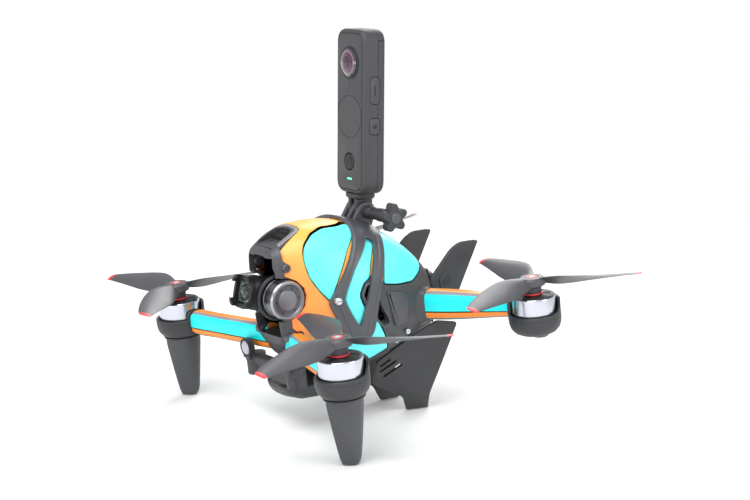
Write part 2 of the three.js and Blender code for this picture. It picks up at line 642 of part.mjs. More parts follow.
// radius, chord, thickness, twist in degrees, sweep of the mid chord
const BLADE = [
  [4, 9, 3.6, 30, 0], [15, 14.5, 2.4, 35, 1.2], [23, 17.6, 2.1, 30, 1.4],
  [32, 18.0, 1.9, 25, 1.0], [44, 15.8, 1.6, 20, 0.1], [56, 12.3, 1.4, 16, -1.5],
  [64.5, 8.9, 1.1, 14, -3.2], [66.8, 6.0, 0.9, 13.5, -4.2], [PROP_R, 3.0, 0.7, 13, -4.8],
];
function makePropeller() {
  // the leading edge is carried high, on the -Y side of a blade along +X
  const blade = loft(BLADE.map(([radius, chord, thickness, twist, sweep]) => {
    const angle = rad(twist);
    return AIRFOIL.map(([along, above]) => {
      const x = (along * chord) / 2;
      const z = (above * thickness) / 2;
      return point(
        radius,
        -(x * Math.cos(angle) - z * Math.sin(angle) + sweep),
        x * Math.sin(angle) + z * Math.cos(angle),
      );
    });
  }));
  let propeller = lathe([
    [0, -7.4], [5.5, -7.4], [5.7, -3.6], [8.2, -2.4], [8.2, 1.4], [7.2, 2.9], [0, 2.9],
  ], 15);
  for (let k = 0; k < 3; k++) propeller = propeller.add(blade.rotate([0, 0, 120 * k]));
  return propeller;
}
function motorBell() {
  let bell = lathe([
    [0, -8.1], [12.4, -8.1], [BELL_R, -9.2], [BELL_R, -21], [12.5, -21], [12.5, -11.4],
    [1.5, -11.4], [1.5, -27.4], [0, -27.4],
  ], 18);
  const opening = prismZ([[6.4, -1.9], [11, -3.2], [11, 3.2], [6.4, 1.9]], -12.5, -7);
  for (let k = 0; k < 6; k++) bell = bell.subtract(opening.rotate([0, 0, 60 * k]));
  return bell;
}
const propeller = makePropeller();
const bell = motorBell();
const stator = move(lathe([
  [2.2, -22.9], [4, -22.9], [4, -21.4], [11.6, -21.4], [11.6, -12.6], [2.2, -12.6],
  [2.2, -22.9],
], 14), 0, 0, -0.3);
for (const corner of CORNERS) {
  const turned = propeller.rotate([0, 0, corner.phase]);
  put('propeller_' + corner.name, place(turned, corner), 'dark');
  put('motor_bell_' + corner.name, place(bell, corner), 'silver');
  put('motor_stator_' + corner.name, place(stator, corner), 'copper');
}

// ---------------------------------------------------------------- pods, arms, landing legs
const POD_BORE = 14.8;      // inner radius of the pod wall
function podBody() {
  const cup = cut(lathe([
    [0, -23.6], [14.5, -23.6], [14.5, -20.2], [POD_R, -20.2], [POD_R, -24.5], [15.2, -29.5],
    [10.5, -33.2], [0, -33.2],
  ], 18), rod(2.0, -28.4, -20, 12));
  // streamlined rear wall, hugging the bell
  const rim = POD_R - 0.1;
  const wall = lathe([
    [POD_BORE, -24], [rim, -24], [rim, -11.2], [POD_BORE, -11.2], [POD_BORE, -24],
  ], 18).intersect(prismX([
    [2, -24], [2, -19.9], [7.5, -19.4], [11, -15.4], [13.4, -12.2], [20, -11.2], [20, -24],
  ], -20, 20));
  return main(cup.add(wall));
}
const frontPod = podBody();
// the rear pods carry a hollow stub underneath
const rearPod = frontPod.add(
  move(rod(5.4, -36.2, -33, 12), 0, 3, 0).subtract(move(rod(2.6, -40, -35, 10), 0, 3, 0)));

const frontArm = armLoft(
  [[-9, 8.4, 5.6], [45, 8.1, 5.6], [64, 7.9, 5.6], [72, 6.2, 5.2]], FRONT_AXIS);
const rearArm = armLoft([
  [4.4, 9.9, 6.9], [18, 9.8, 6.9], [32, 9.0, 6.4], [52, 7.6, 6.0], [64, 6.9, 5.8],
  [72, 6.5, 5.6],
], REAR_AXIS);
// the ground seen from the level frame
const ground = turn(box(-400, 400, -400, 400, -400, 0),
  rotationX(-PITCH_DEG).multiply(new THREE.Matrix4().makeTranslation(0, 0, -LIFT)));

// z, half width, half depth
const LEG = [
  [-33.5, 10.6, 11.4], [-38, 10.2, 11.2], [-46, 9.2, 10.2], [-56, 7.8, 8.9],
  [-66, 6.3, 7.4], [-72, 5.2, 6.2], [-74.6, 4.2, 5.0], [-76, 2.6, 3.2],
];
// section with a soft keel towards the nose
function legOutline(halfWidth, halfDepth) {
  return Array.from({ length: 16 }, (_, j) => {
    const angle = (2 * Math.PI * j) / 16;
    const cosine = Math.cos(angle);
    const sine = Math.sin(angle);
    const exponent = sine < 0 ? 1.4 : 0.9;
    const keel = sine < 0 ? 1 + 0.1 * sine * sine : 1;
    return [
      halfWidth * Math.sign(cosine) * Math.abs(cosine) ** exponent,
      halfDepth * sine * keel,
    ];
  });
}
const leg = loftZ(LEG, legOutline);

function arm({ x, y }, front) {
  const left = front ? frontArm : rearArm;
  const blank = cut(x > 0 ? left : mirrorX(left), move(rod(POD_R + GAP, -60, 40, 24), x, y, 0));
  return front ? cut(blank, hullClear, noseClear, pieces.nose_frame.solid) : cut(blank, hullClear);
}
// the pod has a short root that meets the arm
function podWithRoot(corner, front) {
  const direction = (front ? FRONT_AXIS : REAR_AXIS).direction.clone();
  if (corner.x < 0) direction.x *= -1;
  const rootZ = front ? -22.5 : -16.8;
  const halfHeight = front ? 8.1 : 6.9;
  const root = loft([
    [-15.6, halfHeight, 6.4], [-13.5, halfHeight, 6.4], [-8, front ? 7 : 6.2, 6],
  ].map(([distance, height, width]) => armRing(
    point(0, 0, rootZ).addScaledVector(direction, distance), direction, height, width, 3.2)));
  const trimmed = cut(root, rod(POD_BORE, -23.6, 10, 20))
    .intersect(rod(POD_R - 0.15, -60, 10, 20));
  return main((front ? frontPod : rearPod).add(trimmed));
}
for (const corner of CORNERS) {
  const front = corner.y < 0;
  put('arm_' + corner.name, arm(corner, front), 'cyan');
  put('motor_pod_' + corner.name, place(podWithRoot(corner, front), corner), 'dark');
  if (front) put('landing_leg_' + corner.name, cut(place(leg, corner), ground), 'grey');
}

// ---------------------------------------------------------------- fins
const FIN_X = 26.2;         // mid plane of the upper fin
// side views (y, z)
const UPPER_FIN = [
  [86.5, 14.6], [83.0, 15.8], [71.5, 16.8], [64, 13.6], [45, -3.0], [47, -13.5],
  [66.5, -16.5],
];
const FIN_BOSS = [[52, -3.6], [59.5, 1.4], [64, -2.6], [63.5, -10.5], [53, -11.5]];
const LOWER_FIN = [
  [41.6, -27], [56.6, -31.4], [48.5, -57], [40.8, -80], [40.4, -93], [26.8, -93],
  [21.8, -78], [-1, -62.5], [0, -46.8], [9.3, -41.6], [24, -34],
];
// slots in the lower fin: start y, z and run along y, z
const FIN_SLOTS = [[2.2, -50.4, 7.2, 3.7], [2.4, -54.2, 11.4, 5.3], [5.2, -58.3, 12.9, 6.0]];
const SLOT_HALF = 1.15;     // half width of a slot
const rearArmClear = armLoft([
  [-6, 16.6, 14.2], [-1, 13.8, 11.6], [4, 11.2, 8.4], [18, 10.4, 7.5], [32, 9.5, 7.0],
  [52, 8.1, 6.6], [72, 7.0, 6.2],
], REAR_AXIS);

function upperFin() {
  const plate = (outline, extra) =>
    prismX(outline, FIN_X - FIN_T / 2 - extra, FIN_X + FIN_T / 2 + extra);
  const fin = plate(fillet(UPPER_FIN, [1.5, 3, 3.5, 3, 3, 1, 3]), 0)
    .add(plate(fillet(FIN_BOSS, 1.2), 0.7));
  return main(cut(fin, rearArmClear, hullClear, shoulders, box(-22.6, 22.6, 20, 80, -31, 3)));
}
function lowerFin() {
  const outline = fillet(LOWER_FIN, [2, 3, 2, 2, 1, 1, 2.5, 2, 2, 1, 1]);
  const slots = FIN_SLOTS.map(([y, z, runY, runZ]) => {
    const scale = SLOT_HALF / Math.hypot(runY, runZ);
    const [offY, offZ] = [-runZ * scale, runY * scale];
    return prismX(fillet([
      [y - offY, z - offZ], [y + runY - offY, z + runZ - offZ],
      [y + runY + offY, z + runZ + offZ], [y + offY, z + offZ],
    ], 0.6), -5, 5);
  });
  const flat = cut(prismX(outline, -FIN_T / 2, FIN_T / 2), ...slots);
  // sheared so that x = 38.34 + 0.1426 y + 0.3065 z on the mid plane
  const slanted = flat.transform([1, 0, 0, 0, 0.1426, 1, 0, 0, 0.3065, 0, 1, 0, 38.34, 0, 0, 1]);
  return main(cut(slanted, hullClear, shoulders, rearArmClear, ground,
    box(-24.6, 24.6, -60, 70, -31.6, 60)));
}
const leftUpperFin = upperFin();
const leftLowerFin = lowerFin();
for (const [side, toSide] of [['left', (solid) => solid], ['right', mirrorX]]) {
  put('upper_fin_' + side, toSide(leftUpperFin), 'dark');
  put('lower_fin_' + side, toSide(leftLowerFin), 'dark');
}

// ---------------------------------------------------------------- saddle bracket with fork
const SCREW_Y = -31.0;      // saddle screw axis, parallel to X
const SCREW_Z = 3.4;
function saddleStrap() {
  const strapSkin = hull(2.6).subtract(hullClear);
  const edge = fillet(STRAP_OUT, [2, 1, 2, 2, 3, 3, 2, 2, 2, 2, 2, 2, 0, 0, 2]);
  const crown = [[-1, 60], [-3.4, 45.5], [-5, 38], [12.2, 33.4], [14, 60]];
  const left = cut(strapSkin.intersect(prismX(edge, 6)), prismX(fillet(STRAP_IN, 1.6), 4))
    .add(strapSkin.intersect(prismX(crown, -14, 14)));
  return cut(bothSides(left), bothSides(prismX(circle(2.15, 20, SCREW_Y, SCREW_Z), 20)));
}
function saddleFork() {
  const leaning = rotationX(-FORK_LEAN, 0, FORK_Y, FORK_Z);
  const prong = (x0, x1) => turn(join(
    prismX(circle(6.4, 16), x0, x1),
    prismX([[-6.4, 0], [6.4, 0], [6.4 + 1.5, -12], [-6.4 - 1.5, -12]], x0, x1),
  ), leaning);
  // z, half width, half depth
  const plinth = turn(loftZ([[-9.4, 8.6, 9.6], [-12.2, 11.2, 11.0], [-17, 12.6, 12.4]],
    (halfWidth, halfDepth) => evenOval(halfWidth, halfDepth, 4, 16)), leaning);
  return cut(
    join(prong(-8.1, -5.1), prong(-1.6, 1.6), prong(5.1, 8.1), plinth),
    hullClear,
    move(prismX(circle(2.45, 12), -20, 20), 0, FORK_Y, FORK_Z),
  );
}
put('saddle_bracket', saddleStrap().add(saddleFork()), 'grey');

const screwBlank = latheX([[0, 30.4], [1.9, 30.4], [1.9, 38.6], [0, 38.9]], 12);
const screwSlot = box(38.3, 45, SCREW_Y - 1.2, SCREW_Y + 1.2, SCREW_Z - 0.25, SCREW_Z + 0.25);
const screw = main(cut(move(screwBlank, 0, SCREW_Y, SCREW_Z), screwSlot, hullClear));
putPair('saddle_screw', screw, 'steel');

// long shank through the fork, then a barrel and a lobed knob on the left
function thumbScrew() {
  const lobes = Array.from({ length: 10 }, (_, i) => {
    const angle = (2 * Math.PI * i) / 10 + 0.3;
    const radius = i % 2 ? 5.9 : 9.4;
    return [radius * Math.cos(angle), radius * Math.sin(angle)];
  });
  return join(latheX([
    [0, -11.4], [1.9, -11.4], [2.2, -10.6], [2.2, 8.5], [4.3, 8.7], [4.3, 30], [5.4, 31.5],
    [5.4, 33.6], [0, 33.6],
  ], 16), prismX(fillet(lobes, 1.9), 33.5, 40.6));
}
put('thumb_screw', move(thumbScrew(), 0, FORK_Y, FORK_Z), 'grey');

// ---------------------------------------------------------------- camera adapter
// built about the fork axis and stood upright over the ground
const upright = (solid) => turn(solid, rotationX(-PITCH_DEG, 0, FORK_Y, FORK_Z));

// two prongs between the fork prongs, and a plate under the camera
function cameraAdapter() {
  const prong = (x0, x1) => join(
    prismX(circle(6.1, 16), x0, x1),
    prismX([[-5.2, 0], [5.2, 0], [6.2, 9.4], [-6.2, 9.4]], x0, x1),
  );
  // z, half width, half depth
  const plate = loftZ([[8.2, 8.0, 6.8], [9.4, 8.4, 7.2], [11.1, 8.4, 7.2]],
    (halfWidth, halfDepth) => evenOval(halfWidth, halfDepth, 5, 16));
  return cut(join(prong(-4.75, -1.95), prong(1.95, 4.75), plate),
    prismX(circle(2.4, 12), -20, 20));
}
put('camera_adapter', upright(cameraAdapter()), 'dark');

// ---------------------------------------------------------------- action camera
const CAM_W = 32;           // width
const CAM_H = 104;          // height
const CAM_BOTTOM = 11.5;    // above the fork axis
const HALF_D = 16.6 / 2;    // half depth; the front face is at y = -HALF_D
const CASE_SOFT = 1.6;      // softening of the front and back edges
const LENS_Z = CAM_BOTTOM + 83;
const RING_Z = CAM_BOTTOM + 49;
const SHUTTER_Z = CAM_BOTTOM + 20.5;
const SLIT_Z = CAM_BOTTOM + 9.5;

const caseOutline = (inset, radius, steps) => roundRect(-CAM_W / 2 + inset,
  CAM_W / 2 - inset, CAM_BOTTOM + inset, CAM_BOTTOM + CAM_H - inset, radius, steps);
// side buttons on +X, outlines (y, z)
const powerOutline = (growth) =>
  grow(roundRect(-3.6, 3.6, CAM_BOTTOM + 57.5, CAM_BOTTOM + 74.5, 3.6, 4), growth);
const quickOutline = (growth) =>
  grow(roundRect(-3.8, 3.8, CAM_BOTTOM + 38.4, CAM_BOTTOM + 48.7, 2, 3), growth);
// a round cutter at height z on the camera's middle line
const faceDisc = (radius, z, count, y0, y1) => prismY(circle(radius, count, 0, z), y0, y1);
const IN_FRONT = -HALF_D - 5;   // cutters start here, ahead of the front face

function cameraCase() {
  // y, inset
  const block = loftY([
    [-HALF_D, CASE_SOFT], [-HALF_D + CASE_SOFT, 0], [HALF_D - CASE_SOFT, 0],
    [HALF_D, CASE_SOFT],
  ], (inset) => caseOutline(inset, 6.5 - inset * 0.5, 4));
  return cut(
    block,
    prismY(caseOutline(2.4, 5, 3), IN_FRONT, -HALF_D + 1.2),
    faceDisc(9.9, LENS_Z, 24, IN_FRONT, -HALF_D + 3.4),
    faceDisc(9.9, LENS_Z, 24, HALF_D - 3.4, HALF_D + 5),
    faceDisc(5.4, SHUTTER_Z, 20, IN_FRONT, -HALF_D + 3),
    prismX(powerOutline(0.3), CAM_W / 2 - 2.2, 30),
    prismX(quickOutline(0.3), CAM_W / 2 - 2.2, 30),
  );
}
function cameraFace() {
  return cut(
    prismY(caseOutline(2.75, 5, 3), -HALF_D - 0.25, -HALF_D + 0.9),
    faceDisc(10.3, LENS_Z, 24, IN_FRONT, HALF_D),
    faceDisc(5.8, SHUTTER_Z, 20, IN_FRONT, HALF_D),
    faceDisc(0.5, CAM_BOTTOM + 69, 8, IN_FRONT, -HALF_D + 0.3),
    // engraved ring
    faceDisc(13.6, RING_Z, 24, IN_FRONT, -HALF_D + 0.05)
      .subtract(faceDisc(13.1, RING_Z, 24, IN_FRONT, HALF_D)),
    prismY(roundRect(-2.7, 2.7, SLIT_Z - 0.6, SLIT_Z + 0.6, 0.4), IN_FRONT, -HALF_D + 0.2),
  );
}
const sideButton = (outline) => upright(prismX(outline, CAM_W / 2 - 1.3, CAM_W / 2 + 0.25));
const dome = lathe([
  [0, -2.9], [9.3, -2.9], [9.6, -2.5], [9.6, 0.6], [7.9, 2.4], [4.6, 4.0], [0, 4.6],
], 18);
const shutter = lathe([[0, -1.9], [5.1, -1.9], [5.1, 0.3], [0, 0.4]], 16);
put('action_camera_body', upright(cameraCase()), 'camera');
put('action_camera_face', upright(cameraFace()), 'camera');
put('front_lens', upright(turn(dome, rotationX(90, 0, -HALF_D, LENS_Z))), 'glass');
put('rear_lens', upright(turn(dome, rotationX(-90, 0, HALF_D, LENS_Z))), 'glass');
put('shutter_button', upright(turn(shutter, rotationX(90, 0, -HALF_D + 0.1, SHUTTER_Z))),
  'black');
put('power_button', sideButton(powerOutline(0)), 'camera');
put('quick_button', sideButton(quickOutline(0)), 'camera');

// ---------------------------------------------------------------- cross beam with two lamps
const LAMP_X = 24;          // a lamp stands at this distance each side
// moves a turned piece to a lamp's place, facing the nose direction
const atLamp = (solid, x) => move(turn(solid, rotationX(90)), x, -65, -29.5);

function lampBeam() {
  let beam = join(
    prismX(fillet([[-64, -40.5], [-57, -40.5], [-56.5, -34.2], [-64, -34.2]], 1.5), -30, 30),
    box(-30, 30, -63, -58.5, -46.5, -40),
  );
  for (const x of [-LAMP_X, LAMP_X]) {
    beam = join(
      beam,
      atLamp(lathe([[0, -1.9], [6.2, -1.9], [6.2, 1.6], [0, 1.6]], 20), x),
      box(x - 4, x + 4, -66.5, -59, -36.5, -34.1),
      move(rod(6.4, -47.5, -34.1, 14), x, -59.5, 0),
    );
    beam = cut(beam, atLamp(rod(4.9, 0.3, 8, 20), x));
  }
  const armClear = armLoft(
    [[-10, 8.8, 6.3], [2, 8.8, 6.3], [20, 8.7, 6.1], [45, 8.5, 6.2]], FRONT_AXIS);
  return cut(beam, noseClear, hullClear, armClear, mirrorX(armClear), pieces.belly_tray.solid);
}
put('lamp_beam', lampBeam(), 'dark');
const lampLens = lathe([[0, 0.6], [4.6, 0.6], [4.6, 1.8], [3.4, 2.6], [0, 2.9]], 16);
for (const [side, x] of [['left', LAMP_X], ['right', -LAMP_X]]) {
  put('lamp_lens_' + side, cut(atLamp(lampLens, x), noseClear), 'lamp');
}

// ---------------------------------------------------------------- final clearances
const strapClear = grow(fillet(STRAP_OUT, 2), 0.4);
frame = cut(
  frame,
  pieces.nose_frame.solid,
  pieces.battery.solid,
  pieces.upper_shell.solid,
  hull(3.2).subtract(hull(GAP / 2))
    .intersect(prismX(strapClear, 4, FAR).add(prismX(strapClear, -FAR, -4))),
);
for (const [name, { solid }] of Object.entries(pieces)) {
  if (/panel|arm_|gimbal|belly|fin_|lamp_beam|camera_head|intake/.test(name)) {
    frame = cut(frame, solid);
  }
}
put('body_frame', frame, 'grey');

// the first piece of each pair gives way to the second, with a little play
const PLAY = 0.15;
for (const [name, neighbour] of [
  ['nose_frame', 'intake_grille'],
  ['body_frame', 'intake_grille'],
  ['upper_shell', 'nose_frame'],
  ['upper_shell', 'intake_grille'],
  ['upper_shell', 'rear_panel_left'],
  ['upper_shell', 'rear_panel_right'],
  ['body_frame', 'upper_shell'],
  ['body_frame', 'nose_frame'],
  ['body_frame', 'saddle_bracket'],
  ['arm_front_left', 'nose_frame'],
  ['arm_front_right', 'nose_frame'],
]) {
  const { solid } = pieces[neighbour];
  const swollen = join(solid, move(solid, 0, PLAY, 0), move(solid, 0, -PLAY, 0),
    move(solid, 0, 0, -PLAY));
  pieces[name].solid = fill(main(cut(pieces[name].solid, swollen)));
}

// ---------------------------------------------------------------- assemble
const posed = new THREE.Group();
posed.rotation.x = rad(PITCH_DEG);
posed.position.z = LIFT;
for (const [name, { solid, look }] of Object.entries(pieces)) {
  const mesh = new THREE.Mesh(geometryOf(solid), new THREE.MeshStandardMaterial(LOOKS[look]));
  mesh.name = name;
  posed.add(mesh);
}
const drone = new THREE.Group();
drone.add(posed);
drone.position.set(...CENTRE, 0);
export default drone;
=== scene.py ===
# A four-rotor drone with a tilting camera in its nose and an action camera upright on its back.
#
# The airframe is drawn in millimetres: -y is its nose, +x its left and +z up. to_row() pitches
# it nose down, lifts it off the floor and turns it into metres in the shared frame. The action
# camera isn't pitched: its points are millimetres from the fork's axle, placed by to_fork().
import math

import bmesh
import bpy
import numpy as np
from mathutils import Matrix, Vector, geometry

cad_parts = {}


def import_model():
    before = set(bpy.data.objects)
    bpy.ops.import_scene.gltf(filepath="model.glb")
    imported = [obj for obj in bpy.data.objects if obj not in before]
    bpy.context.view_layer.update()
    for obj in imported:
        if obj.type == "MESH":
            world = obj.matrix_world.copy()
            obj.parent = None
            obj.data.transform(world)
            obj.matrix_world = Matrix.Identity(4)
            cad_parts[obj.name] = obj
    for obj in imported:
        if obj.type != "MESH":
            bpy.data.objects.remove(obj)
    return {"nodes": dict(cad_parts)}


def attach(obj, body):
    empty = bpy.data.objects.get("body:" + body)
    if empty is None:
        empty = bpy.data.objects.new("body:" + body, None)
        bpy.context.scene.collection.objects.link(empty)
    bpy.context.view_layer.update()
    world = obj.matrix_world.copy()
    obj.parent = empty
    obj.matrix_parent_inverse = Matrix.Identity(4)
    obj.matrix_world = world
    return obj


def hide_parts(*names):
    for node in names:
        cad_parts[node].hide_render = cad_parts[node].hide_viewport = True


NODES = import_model()["nodes"]
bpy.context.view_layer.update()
scene = bpy.context.scene
SIDES = (("left", 1), ("right", -1))


# ---------------------------------------------------------------- driving sizes and placement
def vec(x, y, z):
    return np.array([x, y, z], float)


PITCH_DEG, LIFT = 7.6, 83.6
COS_PITCH, SIN_PITCH = math.cos(math.radians(PITCH_DEG)), math.sin(math.radians(PITCH_DEG))
MOTOR_X, MOTOR_Y, REAR_RISE = 99.0, 72.0, 2.3      # the rear motors stand REAR_RISE higher
PROP_R, BELL_R, POD_R = 67.3, 13.8, 16.5
GIMBAL_Y, GIMBAL_Z, GIMBAL_R, GIMBAL_TILT = -59.0, 8.4, 12.3, 18.0
GIMBAL = vec(0, GIMBAL_Y, GIMBAL_Z)
FORK_Y, FORK_Z = 15.5, 46.5
FORK = vec(0, FORK_Y, FORK_Z)

# name, x, y, z of the propeller plane, angle of the first blade in degrees
CORNERS = [
    ("front_right", -MOTOR_X, -MOTOR_Y, 0.0, 190.9),
    ("front_left", MOTOR_X, -MOTOR_Y, 0.0, 282.9),
    ("rear_left", MOTOR_X, MOTOR_Y, REAR_RISE, 45.4),
    ("rear_right", -MOTOR_X, MOTOR_Y, REAR_RISE, 102.4),
]

# the action camera stands over the fork's axle, on the airframe's middle plane
case_node = NODES["action_camera_body"]
case_points = np.array([case_node.matrix_world @ v.co for v in case_node.data.vertices]) * 1000.0
case_middle = (case_points.min(0) + case_points.max(0)) / 2
ORIGIN_X = float(case_middle[0])
ORIGIN_Y = float(case_middle[1] - FORK_Y * COS_PITCH + FORK_Z * SIN_PITCH)


def to_row(points):
    """airframe millimetres to metres in the shared frame"""
    x, y, z = np.asarray(points, float).reshape(-1, 3).T
    return np.stack([x + ORIGIN_X, y * COS_PITCH - z * SIN_PITCH + ORIGIN_Y,
                     y * SIN_PITCH + z * COS_PITCH + LIFT], 1) / 1000.0


FORK_ROW = to_row(FORK)[0] * 1000.0


def to_fork(points):
    """millimetres from the fork's axle, unpitched, to metres in the shared frame"""
    return (np.asarray(points, float).reshape(-1, 3) + FORK_ROW) / 1000.0


# ---------------------------------------------------------------- materials
def srgb(*rgb):
    """8-bit sRGB to linear rgba"""
    levels = [level / 255 for level in rgb]
    return (*(c / 12.92 if c <= 0.04045 else ((c + 0.055) / 1.055) ** 2.4 for c in levels), 1.0)


def shade(colour, factor, lift=0.0):
    return tuple(min(1.0, c * factor + lift) for c in colour[:3])


class Material:
    """a node material built round its Principled shader"""

    INPUTS = {"base": "Base Color", "rough": "Roughness", "metal": "Metallic",
              "coat": "Coat Weight", "coat_rough": "Coat Roughness",
              "spec": "Specular IOR Level", "emit": "Emission Color",
              "emit_strength": "Emission Strength", "aniso": "Anisotropic"}

    def __init__(self, name):
        self.data = bpy.data.materials.new(name)
        self.data.use_nodes = True
        self.tree = self.data.node_tree
        self.shader = self.tree.nodes["Principled BSDF"]
        self.coords = self.node("ShaderNodeTexCoord").outputs["Object"]

    def feed(self, socket, value):
        if isinstance(value, bpy.types.NodeSocket):
            self.tree.links.new(value, socket)
        else:
            socket.default_value = value

    def node(self, kind, inputs=None, **settings):
        node = self.tree.nodes.new(kind)
        for key, value in settings.items():
            setattr(node, key, value)
        for key, value in (inputs or {}).items():
            self.feed(node.inputs[key], value)
        return node

    def noise(self, scale, detail):
        return self.node("ShaderNodeTexNoise", {
            "Vector": self.coords, "Scale": scale, "Detail": detail, "Roughness": 0.55,
        }).outputs["Fac"]

    def ramp(self, value, stops):
        ramp = self.node("ShaderNodeValToRGB", {"Fac": value})
        elements = ramp.color_ramp.elements
        while len(elements) < len(stops):
            elements.new(0.5)
        for element, (position, colour) in zip(elements, stops):
            element.position = position
            element.color = (*colour[:3], 1)
        return ramp.outputs["Color"]

    def two_tone(self, value, low, high):
        return self.ramp(value, [(0.3, low), (0.7, high)])

    def remap(self, value, source, target):
        inputs = dict(enumerate((value, *source, *target)))
        return self.node("ShaderNodeMapRange", inputs).outputs[0]

    def math(self, operation, *values):
        inputs = dict(enumerate(values))
        return self.node("ShaderNodeMath", inputs, operation=operation).outputs[0]

    def vector_math(self, operation, *values):
        inputs = dict(enumerate(values))
        return self.node("ShaderNodeVectorMath", inputs, operation=operation).outputs

    def mix(self, factor, low, high):
        inputs = {0: factor, 6: low, 7: high}
        return self.node("ShaderNodeMix", inputs, data_type="RGBA").outputs[2]

    def z_of(self, vector):
        return self.node("ShaderNodeSeparateXYZ", {0: vector}).outputs[2]

    def bump(self, height, strength, distance):
        bump = self.node("ShaderNodeBump", {
            "Strength": strength, "Distance": distance, "Height": height})
        self.feed(self.shader.inputs["Normal"], bump.outputs["Normal"])

    def set(self, **values):
        for key, value in values.items():
            self.feed(self.shader.inputs[self.INPUTS[key]], value)


def worn(mat, colour, base, amount, lighten=1.7):
    """the colour, lighter on convex edges"""
    pointiness = mat.node("ShaderNodeNewGeometry").outputs["Pointiness"]
    edge = mat.remap(pointiness, source=(0.52, 0.60), target=(0.0, amount))
    return mat.mix(edge, colour, (*shade(base, lighten, lift=0.02), 1))


def plastic(name, rgb, rough, grain=2600.0, bump=0.08, variation=0.12, coat=0.0, wear=0.25):
    mat = Material(name)
    base = srgb(*rgb)
    patches = mat.noise(scale=38, detail=4)
    colour = mat.two_tone(patches, shade(base, 1 - variation), shade(base, 1 + variation))
    colour = worn(mat, colour, base, wear)
    fine = mat.noise(scale=grain, detail=2)
    roughness = mat.ramp(patches, [(0.25, (rough - 0.06,) * 3), (0.75, (rough + 0.07,) * 3)])
    mat.set(base=colour, rough=roughness, coat=coat, coat_rough=0.2)
    mat.bump(fine, strength=bump, distance=0.0003)
    return mat.data


def metal(name, rgb, rough, lines=5200.0, bump=0.05):
    """metal with fine turning lines stacked along the height"""
    mat = Material(name)
    base = srgb(*rgb)
    height = mat.math("MULTIPLY", mat.z_of(mat.coords), lines)
    stacked = mat.node("ShaderNodeCombineXYZ", {2: height}).outputs[0]
    turned = mat.node("ShaderNodeTexNoise", {"Scale": 1.0, "Vector": stacked}).outputs["Fac"]
    mat.set(base=mat.two_tone(turned, shade(base, 0.9), shade(base, 1.05)), metal=1.0, aniso=0.4,
            rough=mat.remap(turned, source=(0.3, 0.7), target=(rough - 0.05, rough + 0.08)))
    mat.bump(turned, strength=bump, distance=0.0002)
    return mat.data


def orange_paint():
    """orange paint with painted light: it turns lighter and yellower on higher and upward-facing
    surfaces, where the light falls
    """
    mat = Material("orange_paint")
    # painted light: height and upward facing both mix the lit yellow into the orange
    height = mat.remap(mat.z_of(mat.coords), source=(0.072, 0.128), target=(0.0, 1.0))
    normal = mat.node("ShaderNodeNewGeometry").outputs["Normal"]
    painted_top_light = mat.remap(mat.z_of(normal), source=(0.15, 0.85), target=(0.0, 1.0))
    fade = mat.math("MULTIPLY_ADD", painted_top_light, 0.6, 0.0)
    fade = mat.math("ADD", fade, mat.math("MULTIPLY", height, 0.4))
    colour = mat.ramp(fade, [(0.0, srgb(251, 146, 74)), (0.45, srgb(251, 162, 74)),
                             (1.0, srgb(252, 182, 76))])
    patches = mat.noise(scale=60, detail=3)
    tint = mat.remap(patches, source=(0.3, 0.7), target=(0.0, 0.10))
    mat.set(base=mat.mix(tint, colour, srgb(255, 202, 110)),
            rough=mat.remap(patches, source=(0.2, 0.8), target=(0.34, 0.44)),
            coat=0.12, coat_rough=0.2, spec=0.38)
    mat.bump(mat.noise(scale=1800, detail=2), strength=0.03, distance=0.0002)
    return mat.data


def cyan_paint(name, low, high):
    mat = Material(name)
    patches = mat.noise(scale=45, detail=3)
    colour = mat.two_tone(patches, srgb(*low), srgb(*high))
    mat.set(base=worn(mat, colour, srgb(*high), amount=0.35, lighten=1.15),
            rough=mat.remap(patches, source=(0.2, 0.8), target=(0.32, 0.42)),
            coat=0.2, coat_rough=0.2)
    mat.bump(mat.noise(scale=2200, detail=2), strength=0.03, distance=0.0002)
    return mat.data


def ringed_glass(name, centre, axis, radius, rough, stops):
    """rings of colour round an axis through centre (metres); stops are parts of radius (mm)"""
    mat = Material(name)
    away = mat.vector_math("SUBTRACT", mat.coords, tuple(centre))[0]
    across = mat.vector_math("CROSS_PRODUCT", away, tuple(axis))[0]
    distance = mat.vector_math("LENGTH", across)["Value"]
    part = mat.math("MULTIPLY", distance, 1000.0 / radius)
    colour = mat.ramp(part, [(position, srgb(*rgb)) for position, rgb in stops])
    mat.set(base=colour, rough=rough, coat=1.0, coat_rough=0.03)
    mat.bump(mat.noise(scale=300, detail=1), strength=0.01, distance=0.0001)
    return mat.data


def dark_glass(name, low, high, **values):
    mat = Material(name)
    scale = values.pop("scale")
    mat.set(base=mat.two_tone(mat.noise(scale=scale, detail=2), srgb(*low), srgb(*high)), **values)
    return mat.data


GREY = plastic("grey_plastic", (68, 69, 73), rough=0.44, wear=0.3)
GREY_SMOOTH = plastic("grey_smooth_plastic", (74, 75, 80), rough=0.36, bump=0.05, wear=0.3)
DARK = plastic("dark_plastic", (49, 50, 53), rough=0.48)
DARKER = plastic("charcoal_plastic", (38, 39, 42), rough=0.52)
# near-black painted shade that stands for the open vents in the motor bells
BLACK = plastic("black_plastic", (20, 20, 22), rough=0.4, wear=0.3)
VENT_SHADE = plastic("painted_vent_shade", (12, 12, 13), rough=0.7)
CASE = plastic("camera_case", (56, 57, 60), rough=0.55, grain=3800, bump=0.05, variation=0.05,
               wear=0.15)
CASE_FACE = plastic("camera_face", (60, 61, 64), rough=0.5, grain=3800, bump=0.04, variation=0.05)
GROOVE = plastic("groove_dark", (26, 27, 30), rough=0.6)
ORANGE = orange_paint()
CYAN = cyan_paint("cyan_panel", (92, 243, 243), (110, 252, 252))
CYAN_ARM = cyan_paint("arm_cyan", (0, 226, 228), (4, 240, 240))
ORANGE_ARM = plastic("arm_orange", (250, 150, 52), rough=0.35, bump=0.03, variation=0.06, coat=0.2)
